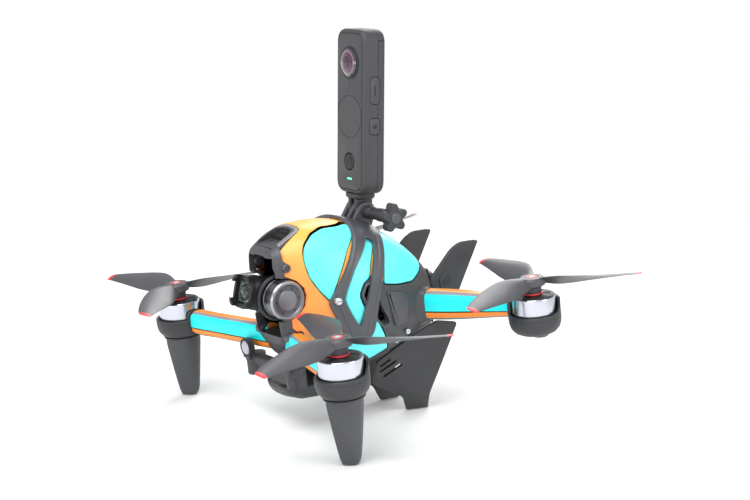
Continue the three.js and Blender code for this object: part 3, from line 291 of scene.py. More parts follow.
# a darker copy of the arm orange for the lower flank: painted shade
ORANGE_LOW = plastic("arm_orange_painted_shade", (246, 138, 44), rough=0.38, bump=0.03, variation=0.06,
                     coat=0.2)
GREY_ARM = plastic("arm_grey", (146, 140, 148), rough=0.42)
# dark cyan for the arm's underside: painted shade under the arm
TEAL = plastic("arm_underside_painted_shade", (22, 110, 116), rough=0.4, bump=0.03)
SILVER = metal("silver_bell", (206, 208, 218), rough=0.2)
SILVER_CAP = metal("silver_cap", (168, 169, 176), rough=0.3)
STEEL = metal("steel_screw", (214, 214, 218), rough=0.2, bump=0.03)
RIM = metal("intake_rim", (176, 178, 184), rough=0.36, bump=0.03)
COPPER = metal("copper_winding", (200, 118, 62), rough=0.35, lines=2600, bump=0.4)
RED = plastic("red_accent", (236, 58, 66), rough=0.4, variation=0.05)
BOARD = plastic("circuit_board", (22, 84, 52), rough=0.5)
LAMP = plastic("lamp_lens", (168, 169, 181), rough=0.14, bump=0.02, variation=0.04, coat=0.8)


# ---------------------------------------------------------------- outlines and profiles
def corner(before, tip, after, radius, steps, share, least):
    """a corner as a curve that takes at most a share of each leg, or its tip if it is tiny"""
    back, ahead = before - tip, after - tip
    back_length, ahead_length = np.linalg.norm(back), np.linalg.norm(ahead)
    reach = min(radius, back_length * share, ahead_length * share)
    if reach < least:
        return [tuple(tip)]
    start, end = tip + back / back_length * reach, tip + ahead / ahead_length * reach
    parts = [k / steps for k in range(steps + 1)]
    return [tuple((1 - t) ** 2 * start + 2 * t * (1 - t) * tip + t * t * end) for t in parts]


def soften(profile, radius):
    """an open profile with its inner corners rounded"""
    points = [np.array(point, float) for point in profile]
    result = [profile[0]]
    for i in range(1, len(points) - 1):
        result += corner(*points[i - 1:i + 2], radius, 3, 0.45, 0.02)
    return result + [profile[-1]]


def fillet(outline, radius, steps=6):
    """a closed outline with rounded corners; radius is one value or one for each corner"""
    points = [np.array(point, float) for point in outline]
    result = []
    for i, tip in enumerate(points):
        size = radius[i] if isinstance(radius, list) else radius
        result += corner(points[i - 1], tip, points[(i + 1) % len(points)], size, steps, 0.47, 0.05)
    return result


def densify(outline, step):
    result, count = [], len(outline)
    for i in range(count):
        start, end = np.array(outline[i], float), np.array(outline[(i + 1) % count], float)
        parts = max(1, int(math.ceil(np.linalg.norm(end - start) / step)))
        result += [tuple(start + (end - start) * j / parts) for j in range(parts)]
    return result


def grow(outline, distance):
    """a closed outline moved outward, or inward by a negative distance"""
    count = len(outline)
    points = np.array(outline, float)
    area = sum(points[i][0] * points[(i + 1) % count][1] - points[(i + 1) % count][0] * points[i][1]
               for i in range(count))
    turn = 1 if area > 0 else -1
    result = []
    for i in range(count):
        normals = []
        for leg in (points[i] - points[i - 1], points[(i + 1) % count] - points[i]):
            normals.append(np.array([turn * leg[1], -turn * leg[0]]) / (np.linalg.norm(leg) or 1))
        mitre = normals[0] + normals[1]
        result.append(tuple(points[i] + distance * mitre / max(0.35, mitre.dot(mitre) / 2)))
    return result


def circle(radius, first, second, count):
    return [(first + radius * math.cos(2 * math.pi * k / count),
             second + radius * math.sin(2 * math.pi * k / count)) for k in range(count)]


def arc(radius, start, end):
    return [(radius * math.cos(a), radius * math.sin(a)) for a in np.linspace(start, end, 28)]


def rect(half_width, low, high):
    return [(-half_width, low), (half_width, low), (half_width, high), (-half_width, high)]


def rod(radius, low, high):
    """turned profile of a plain cylinder"""
    return [(0, low), (radius, low), (radius, high), (0, high)]


def signed_power(value, power):
    return np.sign(value) * np.abs(value) ** power


def oval(half_width, top, bottom, middle, top_power, low_power, count):
    """x and z of a superellipse whose upper and lower halves differ"""
    angle = np.arange(count) * 2 * np.pi / count
    sine, cosine = np.sin(angle), np.cos(angle)
    power = np.where(sine >= 0, top_power, low_power)
    reach = np.where(sine >= 0, top - middle, middle - bottom)
    return (half_width * signed_power(cosine, 2 / power),
            middle + reach * signed_power(sine, 2 / power))


def even_oval(half_width, half_height, power, count):
    return oval(half_width, half_height, -half_height, 0, power, power, count)


def stations(table, where):
    """smooth interpolation of a table whose first column rises"""
    key, values = table[:, 0], table[:, 1:]
    slope = np.gradient(values, key, axis=0)
    where = np.clip(np.asarray(where, float), key[0], key[-1])
    i = np.clip(np.searchsorted(key, where) - 1, 0, len(key) - 2)
    span = key[i + 1] - key[i]
    t = ((where - key[i]) / span)[..., None]
    span = span[..., None]
    return ((2 * t**3 - 3 * t**2 + 1) * values[i] + (t**3 - 2 * t**2 + t) * span * slope[i]
            + (-2 * t**3 + 3 * t**2) * values[i + 1] + (t**3 - t**2) * span * slope[i + 1])


def station(table, where):
    return stations(table, np.array([where]))[0]


# ---------------------------------------------------------------- meshes: (verts, faces) in mm
def rot(axis, degrees):
    angle = math.radians(degrees)
    c, s = math.cos(angle), math.sin(angle)
    rows = {"x": [[1, 0, 0], [0, c, -s], [0, s, c]], "y": [[c, 0, s], [0, 1, 0], [-s, 0, c]],
            "z": [[c, -s, 0], [s, c, 0], [0, 0, 1]]}
    return np.array(rows[axis])


def outward(side):
    """turns a lathe's axis from +z to +x on the left, -x on the right"""
    return rot("y", 90 * side)


TO_LEFT = outward(1)
TO_NOSE = rot("x", 90)


# These put an outline's two coordinates and a distance along the remaining axis into x, y, z.
def x_wise(first, second, along):
    return along, first, second


def y_wise(first, second, along):
    return first, along, second


def z_wise(first, second, along):
    return first, second, along


def outward_x(side):
    return lambda first, second, along: (side * along, first, second)


def loft(rings):
    """capped skin through rings of equal count"""
    count, total = len(rings[0]), len(rings)
    faces = []
    for i in range(total - 1):
        for j in range(count):
            k = (j + 1) % count
            faces.append([i * count + j, i * count + k, (i + 1) * count + k, (i + 1) * count + j])
    faces.append(list(range(count))[::-1])
    faces.append([(total - 1) * count + j for j in range(count)])
    return [point for ring in rings for point in ring], faces


def lathe(profile, count, turn=np.eye(3), at=(0, 0, 0)):
    """profile of (radius, height) turned about z, then turned and moved"""
    verts, faces, rows = [], [], []
    for radius, z in profile:
        steps = range(1 if radius < 1e-6 else count)
        rows.append([len(verts) + k for k in steps])
        verts += [(radius * math.cos(2 * math.pi * k / count),
                   radius * math.sin(2 * math.pi * k / count), z) for k in steps]
    for low, high in zip(rows, rows[1:]):
        for k in range(count):
            after = (k + 1) % count
            if len(low) == 1:
                faces.append([low[0], high[k], high[after]])
            elif len(high) == 1:
                faces.append([low[k], high[0], low[after]])
            else:
                faces.append([low[k], high[k], high[after], low[after]])
    return np.array(verts, float) @ turn.T + at, faces


def rims(start, end, soft, steps):
    """(inset, place) of the rings of a slab with rounded rims"""
    turns = [k / steps * math.pi / 2 for k in range(steps + 1)]
    return ([(soft * (1 - math.sin(a)), start + soft * (1 - math.cos(a))) for a in turns]
            + [(soft * (1 - math.sin(a)), end - soft * (1 - math.cos(a))) for a in turns[::-1]])


def plate(outline, start, end, place, soft, steps=3):
    """outline run from start to end with rounded rims"""
    return loft([[place(*pair, along) for pair in grow(outline, -inset)]
                 for inset, along in rims(start, end, soft, steps)])


def prism(outline, start, end, place):
    return loft([[place(*pair, along) for pair in outline] for along in (start, end)])


def box(x0, x1, y0, y1, z0, z1):
    verts = [(x, y, z) for z in (z0, z1) for x, y in ((x0, y0), (x1, y0), (x1, y1), (x0, y1))]
    return verts, [[0, 3, 2, 1], [4, 5, 6, 7], [0, 1, 5, 4], [1, 2, 6, 5], [2, 3, 7, 6],
                   [3, 0, 4, 7]]


def side_box(side, near, far, *limits):
    return box(*sorted((side * near, side * far)), *limits)


def mirror(verts, side):
    verts = np.asarray(verts, float).copy()
    if side < 0:
        verts[:, 0] *= -1
    return verts


def face_means(values, faces):
    return np.array([np.mean(values[face]) for face in faces])


# ---------------------------------------------------------------- objects
def clean(mesh, merge, shortest, sharp, outward_faces=False):
    """welds doubles, drops slivers, may turn faces outward, and shades by angle"""
    bm = bmesh.new()
    bm.from_mesh(mesh)
    bmesh.ops.remove_doubles(bm, verts=bm.verts, dist=merge)
    bmesh.ops.dissolve_degenerate(bm, edges=bm.edges, dist=shortest)
    if outward_faces:
        bmesh.ops.recalc_face_normals(bm, faces=bm.faces)
        if bm.calc_volume(signed=True) < 0:
            bmesh.ops.reverse_faces(bm, faces=bm.faces)
    bm.to_mesh(mesh)
    bm.free()
    mesh.shade_smooth()
    mesh.set_sharp_from_angle(angle=math.radians(sharp))


def new_object(name, verts, faces, face_mats=None, mats=(), sharp=32.0):
    mesh = bpy.data.meshes.new(name)
    mesh.from_pydata([tuple(v) for v in verts], [], [list(face) for face in faces])
    for mat in mats:
        mesh.materials.append(mat)
    if face_mats is not None:
        mesh.polygons.foreach_set("material_index", np.asarray(face_mats, np.int32))
    clean(mesh, 1e-7, 1e-8, sharp, outward_faces=True)
    obj = bpy.data.objects.new(name, mesh)
    scene.collection.objects.link(obj)
    return obj


def add_bevel(obj, name, width, angle):
    bevel = obj.modifiers.new(name, "BEVEL")
    bevel.width = width / 1000
    bevel.segments = 2
    bevel.limit_method = "ANGLE"
    bevel.angle_limit = math.radians(angle)


def register(obj, body, replaces):
    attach(obj, body)
    if replaces:
        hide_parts(*replaces)


class Build:
    """gathers closed solids in millimetres into one piece"""

    def __init__(self):
        self.verts, self.faces, self.mats = [], [], []

    def add(self, verts, faces, mat=0):
        """mat is one slot number, or one for each face"""
        first = len(self.verts)
        self.verts += [np.asarray(point, float) for point in verts]
        self.faces += [[i + first for i in face] for face in faces]
        self.mats += [mat] * len(faces) if isinstance(mat, int) else list(mat)
        return self

    def piece(self, name, mats, replaces=(), slot=None, body="airframe", sharp=32.0, bevel=0.0,
              place=to_row):
        obj = new_object(name, place(self.verts), self.faces, self.mats, mats, sharp)
        if bevel:
            add_bevel(obj, "edges", bevel, sharp)
        register(obj, body, replaces)


# Solids for booleans are objects that hold airframe millimetres / 1000 until mount() places them.
def temp(verts, faces):
    return new_object("tmp", np.asarray(verts, float) / 1000.0, faces)


def boolean(target, tool, operation="DIFFERENCE"):
    modifier = target.modifiers.new("b", "BOOLEAN")
    modifier.operation, modifier.object, modifier.solver = operation, tool, "EXACT"
    graph = bpy.context.evaluated_depsgraph_get()
    result = bpy.data.meshes.new_from_object(target.evaluated_get(graph))
    target.modifiers.clear()
    old = target.data
    target.data = result
    bpy.data.meshes.remove(old)
    bpy.data.objects.remove(tool)
    return target


def cut(target, *tools):
    for tool in tools:
        boolean(target, tool)
    return target


def move_verts(obj, move):
    for vert in obj.data.vertices:
        vert.co = Vector(move(np.array(vert.co) * 1000.0)) / 1000.0


def mount(obj, name, mats, replaces=(), body="airframe", sharp=32.0, place=to_row):
    """turns a boolean solid into a finished piece"""
    obj.name = name
    mesh = obj.data
    slots = [polygon.material_index for polygon in mesh.polygons]
    placed = place(np.array([vert.co for vert in mesh.vertices], float) * 1000.0)
    for vert, point in zip(mesh.vertices, placed):
        vert.co = point
    mesh.materials.clear()
    for mat in mats:
        mesh.materials.append(mat)
    slots = np.array([min(i, len(mats) - 1) for i in slots], np.int32)
    mesh.polygons.foreach_set("material_index", slots)
    clean(mesh, 2e-6, 2e-6, sharp)
    register(obj, body, replaces)


def prism_x(outline, x0, x1):
    return temp(*prism(outline, x0, x1, x_wise))


def prism_y(outline, y0, y1):
    return temp(*prism(outline, y0, y1, y_wise))


def prism_z(outline, z0, z1):
    return temp(*prism(outline, z0, z1, z_wise))


def both_sides(outline, x0, x1):
    """a (y, z) outline as a prism on each side of the fuselage, in one object"""
    pair = Build()
    for _, side in SIDES:
        pair.add(*prism(outline, x0, x1, outward_x(side)))
    return temp(pair.verts, pair.faces)


def block(*limits):
    return temp(*box(*limits))


def below_floor():
    """everything under the floor, in the pitched airframe's frame"""
    verts, faces = box(-400, 400, -400, 400, -400, 0)
    verts = np.array(verts, float)
    verts[:, 2] -= LIFT
    return temp(verts @ rot("x", -PITCH_DEG).T, faces)


# ---------------------------------------------------------------- hull surface
# y, top, bottom, height of the widest line, half width
HULL = np.array([
    [-60, 38.6, -28, 6, 17.8], [-54, 41.8, -33, 7, 22.2], [-50, 43.8, -35.4, 7, 25],
    [-42, 47.4, -39, 6, 29.6], [-28, 48.2, -46, 3, 34], [-12, 46.5, -49, 0, 36.5],
    [4, 42, -48, -3, 37], [20, 34.5, -45, -7, 36], [34, 23.5, -41, -11, 33],
    [46, 10, -37, -15, 29], [56, -3, -33, -18, 24]], float)
TOP_POWER, LOW_POWER = 2.6, 3.0      # superellipse powers above and below the widest line
MM_PER_RADIAN = 40.0                 # rough scale of hull angles, for even spacing


def hull_point(y, angle, offset=0.0):
    y, angle = np.broadcast_arrays(np.asarray(y, float), np.asarray(angle, float))
    top, bottom, middle, half_width = np.moveaxis(stations(HULL, y), -1, 0)
    sine, cosine = np.sin(angle), np.cos(angle)
    power = np.where(sine >= 0, TOP_POWER, LOW_POWER)
    reach = np.where(sine >= 0, top + offset - middle, middle - bottom + offset)
    x = (half_width + offset) * signed_power(cosine, 2 / power)
    return np.stack([x, y, middle + reach * signed_power(sine, 2 / power)], -1)


def hull_coords(points, loop):
    """(y, angle) of points near the hull, each angle on the same turn as the loop's"""
    x, y, z = points.T
    top, bottom, middle, half_width = stations(HULL, y).T
    above = z >= middle
    power = np.where(above, TOP_POWER, LOW_POWER)
    rise = np.where(above, (z - middle) / (top - middle), (z - middle) / (middle - bottom))
    angle = np.arctan2(signed_power(rise, power / 2), signed_power(x / half_width, power / 2))
    gap = loop[:, 1] - angle
    return np.stack([y, np.where(np.abs(gap) > 3, angle + 2 * math.pi * np.sign(gap), angle)], -1)


def on_hull(outline, side=1):
    """side-view (y, z) outline to (y, angle), kept 2 mm clear of the middle plane"""
    result = []
    for y, z in outline:
        top, bottom, middle, half_width = station(HULL, y)
        above = z >= middle
        power = TOP_POWER if above else LOW_POWER
        rise = (z - middle) / (top - middle) if above else (middle - z) / (middle - bottom)
        rise = min(rise, (1 - min(0.98, 2.0 / half_width) ** power) ** (1 / power))
        angle = math.asin(min(1.0, rise ** (power / 2)))
        angle = angle if above else -angle
        result.append((y, angle if side > 0 else math.pi - angle))
    return result


def hull_normal(y, angle):
    step = 1e-3
    along = hull_point(y + step, angle) - hull_point(y - step, angle)
    around = hull_point(y, angle + step) - hull_point(y, angle - step)
    normal = np.cross(around, along)
    normal /= np.linalg.norm(normal, axis=-1, keepdims=True) + 1e-12
    from_axis = hull_point(y, angle) * (1, 0, 1)
    flip = np.sum(normal * from_axis, -1, keepdims=True) < 0
    return np.where(flip, -normal, normal)


def inside(outline, points):
    x, y = points.T
    result = np.zeros(len(points), bool)
    x1, y1 = outline[-1]
    for x0, y0 in outline:
        result ^= ((y0 > y) != (y1 > y)) & (x < (x1 - x0) * (y - y0) / (y1 - y0 + 1e-15) + x0)
        x1, y1 = x0, y0
    return result


def skin(outer, holes=(), top=0.2, bottom=-2.2, step=1.7):
    """a closed skin that follows the hull; outer and holes are loops of (y, angle)"""
    edge, scale = 0.7, np.array([1.0, MM_PER_RADIAN])
    turns = [k / 3 * math.pi / 2 for k in range(4)]
    rim = [(0.0, bottom)]
    rim += [(edge * (1 - math.cos(a)), top - edge * (1 - math.sin(a))) for a in turns]
    verts, faces, loops = [], [], []
    for number, loop in enumerate([outer, *holes]):
        even = densify([(y, a * MM_PER_RADIAN) for y, a in loop], 0.9)
        loop = np.array([(y, a / MM_PER_RADIAN) for y, a in even])
        points = hull_point(loop[:, 0], loop[:, 1])
        tangent = np.roll(points, -1, 0) - np.roll(points, 1, 0)
        tangent /= np.linalg.norm(tangent, axis=1, keepdims=True) + 1e-12
        inward = np.cross(hull_normal(loop[:, 0], loop[:, 1]), tangent)
        # inward points into the material: out of the loop where it is a hole
        probe = hull_coords(points + inward * 0.6, loop)
        if (inside(loop, probe).mean() > 0.5) != (number == 0):
            inward = -inward
        rings = []
        for inset, offset in rim:
            flat = hull_coords(points + inward * inset, loop) if inset > 0 else loop
            rings.append(range(len(verts), len(verts) + len(flat)))
            verts += list(hull_point(flat[:, 0], flat[:, 1], offset))
        for low, high in zip(rings, rings[1:]):
            count = len(low)
            faces += [[low[j], low[(j + 1) % count], high[(j + 1) % count], high[j]]
                      for j in range(count)]
        loops.append(((flat, rings[-1]), (loop, rings[0])))

    # a grid of points inside the loops and clear of their edges
    borders = [layers[0][0] for layers in loops]
    low_y, low_a = borders[0].min(0)
    high_y, high_a = borders[0].max(0)
    arcs = np.arange(low_a * MM_PER_RADIAN, high_a * MM_PER_RADIAN, step) / MM_PER_RADIAN
    grid = np.stack(np.meshgrid(np.arange(low_y, high_y, step), arcs), -1).reshape(-1, 2)
    keep = inside(borders[0], grid)
    for flat in borders[1:]:
        keep &= ~inside(flat, grid)
    grid = grid[keep]
    for flat in borders:
        gaps = np.linalg.norm((grid * scale)[:, None, :] - (flat * scale)[None], axis=2)
        grid = grid[np.min(gaps, axis=1) > step * 0.45]

    # the outer face, then the inner face with a thinner grid
    for layer, (offset, thinning) in enumerate(((top, 1), (bottom, 4))):
        borders = [layers[layer] for layers in loops]
        ids, flat_points, edges = [], [], []
        for flat, ring in borders:
            base, count = len(flat_points), len(flat)
            flat_points += list(flat * scale)
            ids += ring
            edges += [(base + j, base + (j + 1) % count) for j in range(count)]
        fill = grid[::thinning]
        ids += range(len(verts), len(verts) + len(fill))
        verts += list(hull_point(fill[:, 0], fill[:, 1], offset))
        flat_points += list(fill * scale)
        made, _, triangles, source, _, _ = geometry.delaunay_2d_cdt(
            [Vector(tuple(point)) for point in flat_points], edges, [], 0, 1e-7)
        centres = np.array([[sum(made[i][k] for i in triangle) / len(triangle) for k in (0, 1)]
                            for triangle in triangles])
        wanted = inside(borders[0][0] * scale, centres)
        for flat, _ in borders[1:]:
            wanted &= ~inside(flat * scale, centres)
        for triangle, good in zip(triangles, wanted):
            if good:
                face = [ids[source[i][0]] for i in triangle if source[i]]
                if len(face) == 3 and len(set(face)) == 3:
                    faces.append(face)
    return verts, faces


def hull_solid(offset, y0, y1, step=1.6, count=144):
    angles = np.arange(count) * 2 * np.pi / count
    return temp(*loft([list(hull_point(np.full(count, y), angles, offset))
                       for y in np.linspace(y0, y1, int((y1 - y0) / step) + 1)]))


# ---------------------------------------------------------------- fuselage outlines
# side views, (y, z)
TEARDROP = [
    (-3, 40.3), (-2.2, 42.5), (-6, 44.5), (-14, 45), (-25.1, 46), (-34.7, 44.3), (-41.3, 40),
    (-44.2, 35), (-45, 28.2), (-43.8, 19.4), (-39.5, 10.7), (-34.3, 3.3), (-31.8, 4.9),
    (-25.9, 17.2), (-16.3, 31.8), (-7.5, 38.5)]
MIDDLE = [
    (0.5, 35.6), (3.6, 34.2), (4.4, 31), (-1.9, 22.5), (-5.7, 12.3), (-10.7, 9.6), (-14.2, 2.8),
    (-11.2, -6.2), (-14, -13.8), (-16.5, -17.4), (-19, -13.5), (-25.2, 2.7), (-18, 16.8),
    (-8.2, 29.9)]
REAR = [
    (11.5, 35.6), (13.5, 36.8), (21, 32.6), (29.5, 26), (38.5, 16.4), (41, 12), (40.2, 8.8),
    (35, 5.5), (27, 2), (15, 3.2), (3.6, 6), (6.6, 20)]
LOWER = [
    (-52, -20.5), (-44, -21.5), (-30, -26.5), (-12, -25.5), (-4, -12.5), (2.5, -28), (6, -37.5),
    (-6, -42.5), (-22, -42), (-38, -36), (-49, -27)]
STRAP_OUTER = [
    (-7, 41.5), (-33, 6), (-35.6, 2.3), (-27.6, -19.5), (-25.4, -24.7), (-9.5, -24.7),
    (-7.4, -20.6), (-3.2, -5.2), (1.6, 9.6), (8.5, 26.7), (10.6, 31.4), (13.2, 36), (15, 60),
    (-1, 60), (-3.4, 45.5)]
STRAP_RADII = [2, 1, 2, 2, 3, 3, 2, 2, 2, 2, 2, 2, 0, 0, 2]
STRAP_INNER = [
    (-1.2, 36.4), (2.2, 34.6), (3.2, 31.9), (-5.4, 12.4), (-12.5, -6.3), (-16.8, -16.6),
    (-19.8, -12.9), (-26.6, 3.4), (-19.2, 17.6)]
VENT = [
    (-4.5, 10), (-10, 9.2), (-13.6, 2.5), (-10.8, -5), (0.2, -22), (6.4, -21.4), (6.2, -16.7),
    (-0.4, -1), (2.4, 4.8)]
# the joint between nose and hull, and everything ahead of it
NOSE_LINE = [
    (-54.6, 60), (-54.6, 41.2), (-55.2, 40), (-56.4, 31.8), (-53.6, 28.8), (-53.2, 26.5),
    (-56.8, 25), (-57, 22), (-51.2, 18.6), (-47.6, 13.5), (-46.8, 8.7), (-48.2, 2),
    (-52.5, -2.4), (-56.2, -5.4), (-56, -11.4), (-52.4, -15.2), (-52, -60)]
AHEAD = NOSE_LINE + [(-90, -60), (-90, 60)]
BELOW_SHELL = [
    (-90, -19), (-52, -19.5), (-44, -20.6), (-30, -25.6), (-24, -25.6), (-24, -20), (16, -8),
    (60, -8), (60, -90), (-90, -90)]
SHELL_RECESS = [
    (-16, -40), (-16.5, -17), (-13, -6.3), (-16, 2.4), (-11, 11.6), (-5.6, 14), (3, 8.5),
    (15, 4.8), (27, 3.6), (35, 7.2), (41.5, 11.5), (60, 11.5), (60, -60), (-16, -60)]
ABOVE_FLANK = [
    (-52, -22), (-44, -23), (-28, -27.5), (-26, -24), (-16, -17), (-13, -6.3), (-16, 2.4),
    (-11, 11.6), (-5.6, 14), (3, 8.1), (15, 4.4), (27, 3.2), (35, 6.8), (41.5, 11.1),
    (60, 11.1), (60, 90), (-90, 90), (-90, -22)]
# top views, (x, y)
COWL_U = [
    (-13.3, -58), (-13.4, -45), (-12.9, -41), (-11.7, -38.7), (-9.8, -37.5), (-6, -36.9),
    (0, -36.7), (6, -36.9), (9.8, -37.5), (11.7, -38.7), (12.9, -41), (13.4, -45), (13.3, -58)]
INTAKE = [
    (-10, -59), (-10.4, -50), (-9.8, -44.6), (-7.6, -41.4), (-3.6, -40.3), (0, -40.2),
    (3.6, -40.3), (7.6, -41.4), (9.8, -44.6), (10.4, -50), (10, -59)]

# ---------------------------------------------------------------- painted shell and panels
shell = cut(hull_solid(0.0, -60, 43), hull_solid(-2.2, -64, 60, 2.4, 96),
            prism_x(BELOW_SHELL, -60, 60), prism_x(grow(AHEAD, 0.45), -60, 60),
            prism_z(grow(COWL_U, 0.45), 33, 80))
for outline in (TEARDROP, MIDDLE, REAR):
    cut(shell, both_sides(grow(fillet(outline, 2.5), 0.5), 1.2, 60))
cut(shell, both_sides(SHELL_RECESS, 8, 60))
mount(shell, "painted_shell", [ORANGE], ["upper_shell"])

for name, outline, radius in (("teardrop_panel", TEARDROP, 3.0), ("middle_panel", MIDDLE, 2.0),
                              ("rear_panel", REAR, 2.5), ("lower_panel", LOWER, 2.0)):
    for side_name, side in SIDES:
        panel = f"{name}_{side_name}"
        Build().add(*skin(on_hull(grow(fillet(outline, radius), -0.45), side))).piece(
            "skin_" + panel, [CYAN], [panel], "cyan_panel", sharp=40)

# ---------------------------------------------------------------- core, flank and vents
BATTERY_OPENING = (-22.6, 22.6, 20, 80, -30.4, 2.6)

core = cut(hull_solid(-2.75, -46, 54, 2.0, 112), hull_solid(-5.2, -60, 60, 3.0, 64),
           block(*BATTERY_OPENING), both_sides(grow(fillet(VENT, 2), -1.2), 20, 60))
bay = cut(block(-24, 24, -12, 47, -31.6, 4), block(-22.4, 22.4, -10.4, 80, -30, 2.4))
mount(core, "inner_core", [GROOVE], ["body_frame"])
mount(bay, "battery_bay", [GROOVE])

flank = cut(hull_solid(0.0, -60, 44), hull_solid(-3.3, -64, 60, 2.4, 96),
            prism_x(ABOVE_FLANK, -60, 60),
            both_sides(grow(fillet(LOWER, 2), 0.3), 1.2, 60),
            both_sides(grow(fillet(MIDDLE, 2), 0.5), 8, 60),
            both_sides(grow(fillet(REAR, 2.5), 0.6), 1.2, 60),
            prism_x(grow(AHEAD, 0.35), -60, 60),
            both_sides(grow(fillet(VENT, 2), -0.6), 18, 60), block(*BATTERY_OPENING))
mount(flank, "flank_skin", [GREY])

for side_name, side in SIDES:
    hole = on_hull(grow(fillet(VENT, 2.0), -1.6), side)
    bezel = skin(on_hull(fillet(VENT, 2.2), side), [hole], top=1.1, bottom=-5.0, step=1.2)
    Build().add(*bezel).piece("vent_bezel_" + side_name, [GREY_SMOOTH], slot="grey_plastic",
                              sharp=50)
    slats = Build()
    for k in range(5):
        z = -16 + 4.8 * k
        slats.add(*side_box(side, 26, 31, -11.5, 5.5, z, z + 0.8))
    slats.piece("vent_slats_" + side_name, [GROOVE], bevel=0.2)

# ---------------------------------------------------------------- arm lines and shoulders
# Arms are drawn on the left and mirrored; distances run level from the root.
REAR_ROOT = vec(30, 37, -16)
REAR_LENGTH = math.hypot(MOTOR_X - REAR_ROOT[0], MOTOR_Y - REAR_ROOT[1])
REAR_HEADING = vec(MOTOR_X - REAR_ROOT[0], MOTOR_Y - REAR_ROOT[1], 0) / REAR_LENGTH
FRONT_ROOT = vec(20, -54, -22.5)
FRONT_RUN = vec(MOTOR_X, -71.5, -22.5) - FRONT_ROOT
FRONT_HEADING = FRONT_RUN / math.hypot(FRONT_RUN[0], FRONT_RUN[1])


def rear_arm(distance):
    rise = REAR_RISE * max(0, distance) / REAR_LENGTH
    return REAR_ROOT + REAR_HEADING * distance + vec(0, 0, rise)


def front_arm(distance):
    return FRONT_ROOT + FRONT_HEADING * distance


def ring_across(centre, heading, section):
    """an upright (x, z) section set square to a heading"""
    sideways = vec(heading[1], -heading[0], 0)
    return [centre + sideways * x + vec(0, 0, z) for x, z in section]


def arm_ring(centre, heading, half_height, half_width, power):
    return ring_across(centre, heading, zip(*even_oval(half_width, half_height, power, 64)))


# distance, half height, half width
SHOULDER = np.array([[-16, 19, 17], [-10, 17.6, 15.6], [-5, 15.6, 13.4], [-1, 13.2, 11],
                     [2, 11.4, 8.9], [4, 10.6, 7.8]], float)
SHOULDER_END = 3.6
SHOULDER_LIP = ((0.35, 0.985), (0.6, 0.95), (0.7, 0.88))      # distance past the end, scale
SHOULDER_BLOCK = [(4.5, 1.5), (17, -2), (21, -9), (17.5, -21), (9.5, -23.5), (7.8, -17.5)]

for side_name, side in SIDES:
    rings = []
    for distance in np.linspace(-16, SHOULDER_END, 30):
        rings.append(arm_ring(rear_arm(distance), REAR_HEADING, *station(SHOULDER, distance), 2.8))
    end_height, end_width = station(SHOULDER, SHOULDER_END)
    for past, scale in SHOULDER_LIP:
        rings.append(arm_ring(rear_arm(SHOULDER_END + past), REAR_HEADING,
                              end_height * scale, end_width * scale, 2.8))
    verts, faces = loft(rings)
    shoulder = cut(temp(mirror(verts, side), faces),
                   both_sides(grow(fillet(REAR, 2.5), 0.35), 0, 60),
                   both_sides(grow(fillet(LOWER, 2), 0.35), 0, 60),
                   block(-25, 25, -20, 80, -33, 5))
    mount(shoulder, "shoulder_" + side_name, [GREY])
    # chamfered block between the vent and the shoulder
    chamfered = plate(fillet(SHOULDER_BLOCK, 2), 33.0, 38.6, outward_x(side), soft=1.6, steps=4)
    Build().add(*chamfered).piece("shoulder_block_" + side_name, [GREY_SMOOTH],
                                  slot="grey_plastic", sharp=40)

# ---------------------------------------------------------------- nose cowl and intake
# y, top, bottom, height of the widest line, half width, upper power, lower power
NOSE = np.array([
    [-62.2, 34, -18, 6, 12.2, 5, 3.4], [-61.2, 37.2, -21.6, 6, 16, 4.8, 3.4],
    [-59.6, 38.8, -24.4, 6, 17.8, 4.5, 3.4], [-56.8, 40.4, -28, 6.5, 19.9, 4, 3.4],
    [-54, 41.8, -33, 7, 22.2, 3.6, 3.3], [-50, 43.8, -35.4, 7, 25, 3.2, 3.2],
    [-45, 46.2, -38, 6.5, 27.9, 2.7, 3], [-35.6, 48, -42, 5, 31.7, 2.6, 3]], float)
# front views of the openings above and below the camera, (x, z)
UPPER_OPENING = [(-14.2, 14), (16.2, 14), (15.8, 25), (11.5, 32.2), (5, 34.4), (-5, 34.4),
                 (-11, 31.5), (-14, 25)]
LOWER_OPENING = [(-12.4, -14.6), (12.6, -14.6), (13.2, -5), (-14, -5)]


def nose_solid(offset):
    rings = []
    for y in np.r_[np.linspace(-62.2, -59, 12), np.linspace(-58.4, -35.6, 34)]:
        top, bottom, middle, half_width, upper, lower = station(NOSE, y)
        section = oval(half_width + offset, top + offset, bottom - offset, middle, upper, lower, 144)
        rings.append([(x, y, z) for x, z in zip(*section)])
    return temp(*loft(rings))


cowl = boolean(nose_solid(0.0),
               boolean(prism_x(AHEAD, -60, 60), prism_z(COWL_U, 33, 80), "UNION"), "INTERSECT")
cut(cowl, boolean(nose_solid(-3.2), block(-60, 60, -53, 0, -60, 60), "INTERSECT"))
cut(cowl, prism_x(circle(25.4, GIMBAL_Y, GIMBAL_Z, 72), -14.2, 14.2),
    prism_x([(-90, -6.6), (-90, 21.6), (GIMBAL_Y, 21.6), (GIMBAL_Y, -6.6)], -60, 60),
    prism_x(circle(12.8, GIMBAL_Y, GIMBAL_Z, 72), 12.4, 60),
    prism_x(circle(11, GIMBAL_Y, GIMBAL_Z, 72), -60, -12.4))
cut(cowl, prism_y(fillet(UPPER_OPENING, 2), -90, -57.5),
    prism_y(fillet(LOWER_OPENING, 1.5), -90, -57))
above_intake = [(-60.2, 38.2), (-36, 40.6), (-36, 80), (-60.2, 80)]
cut(cowl, boolean(prism_z(INTAKE, 30, 80), prism_x(above_intake, -20, 20), "INTERSECT"))
mount(cowl, "nose_cowl", [GREY], ["nose_frame"], sharp=28)

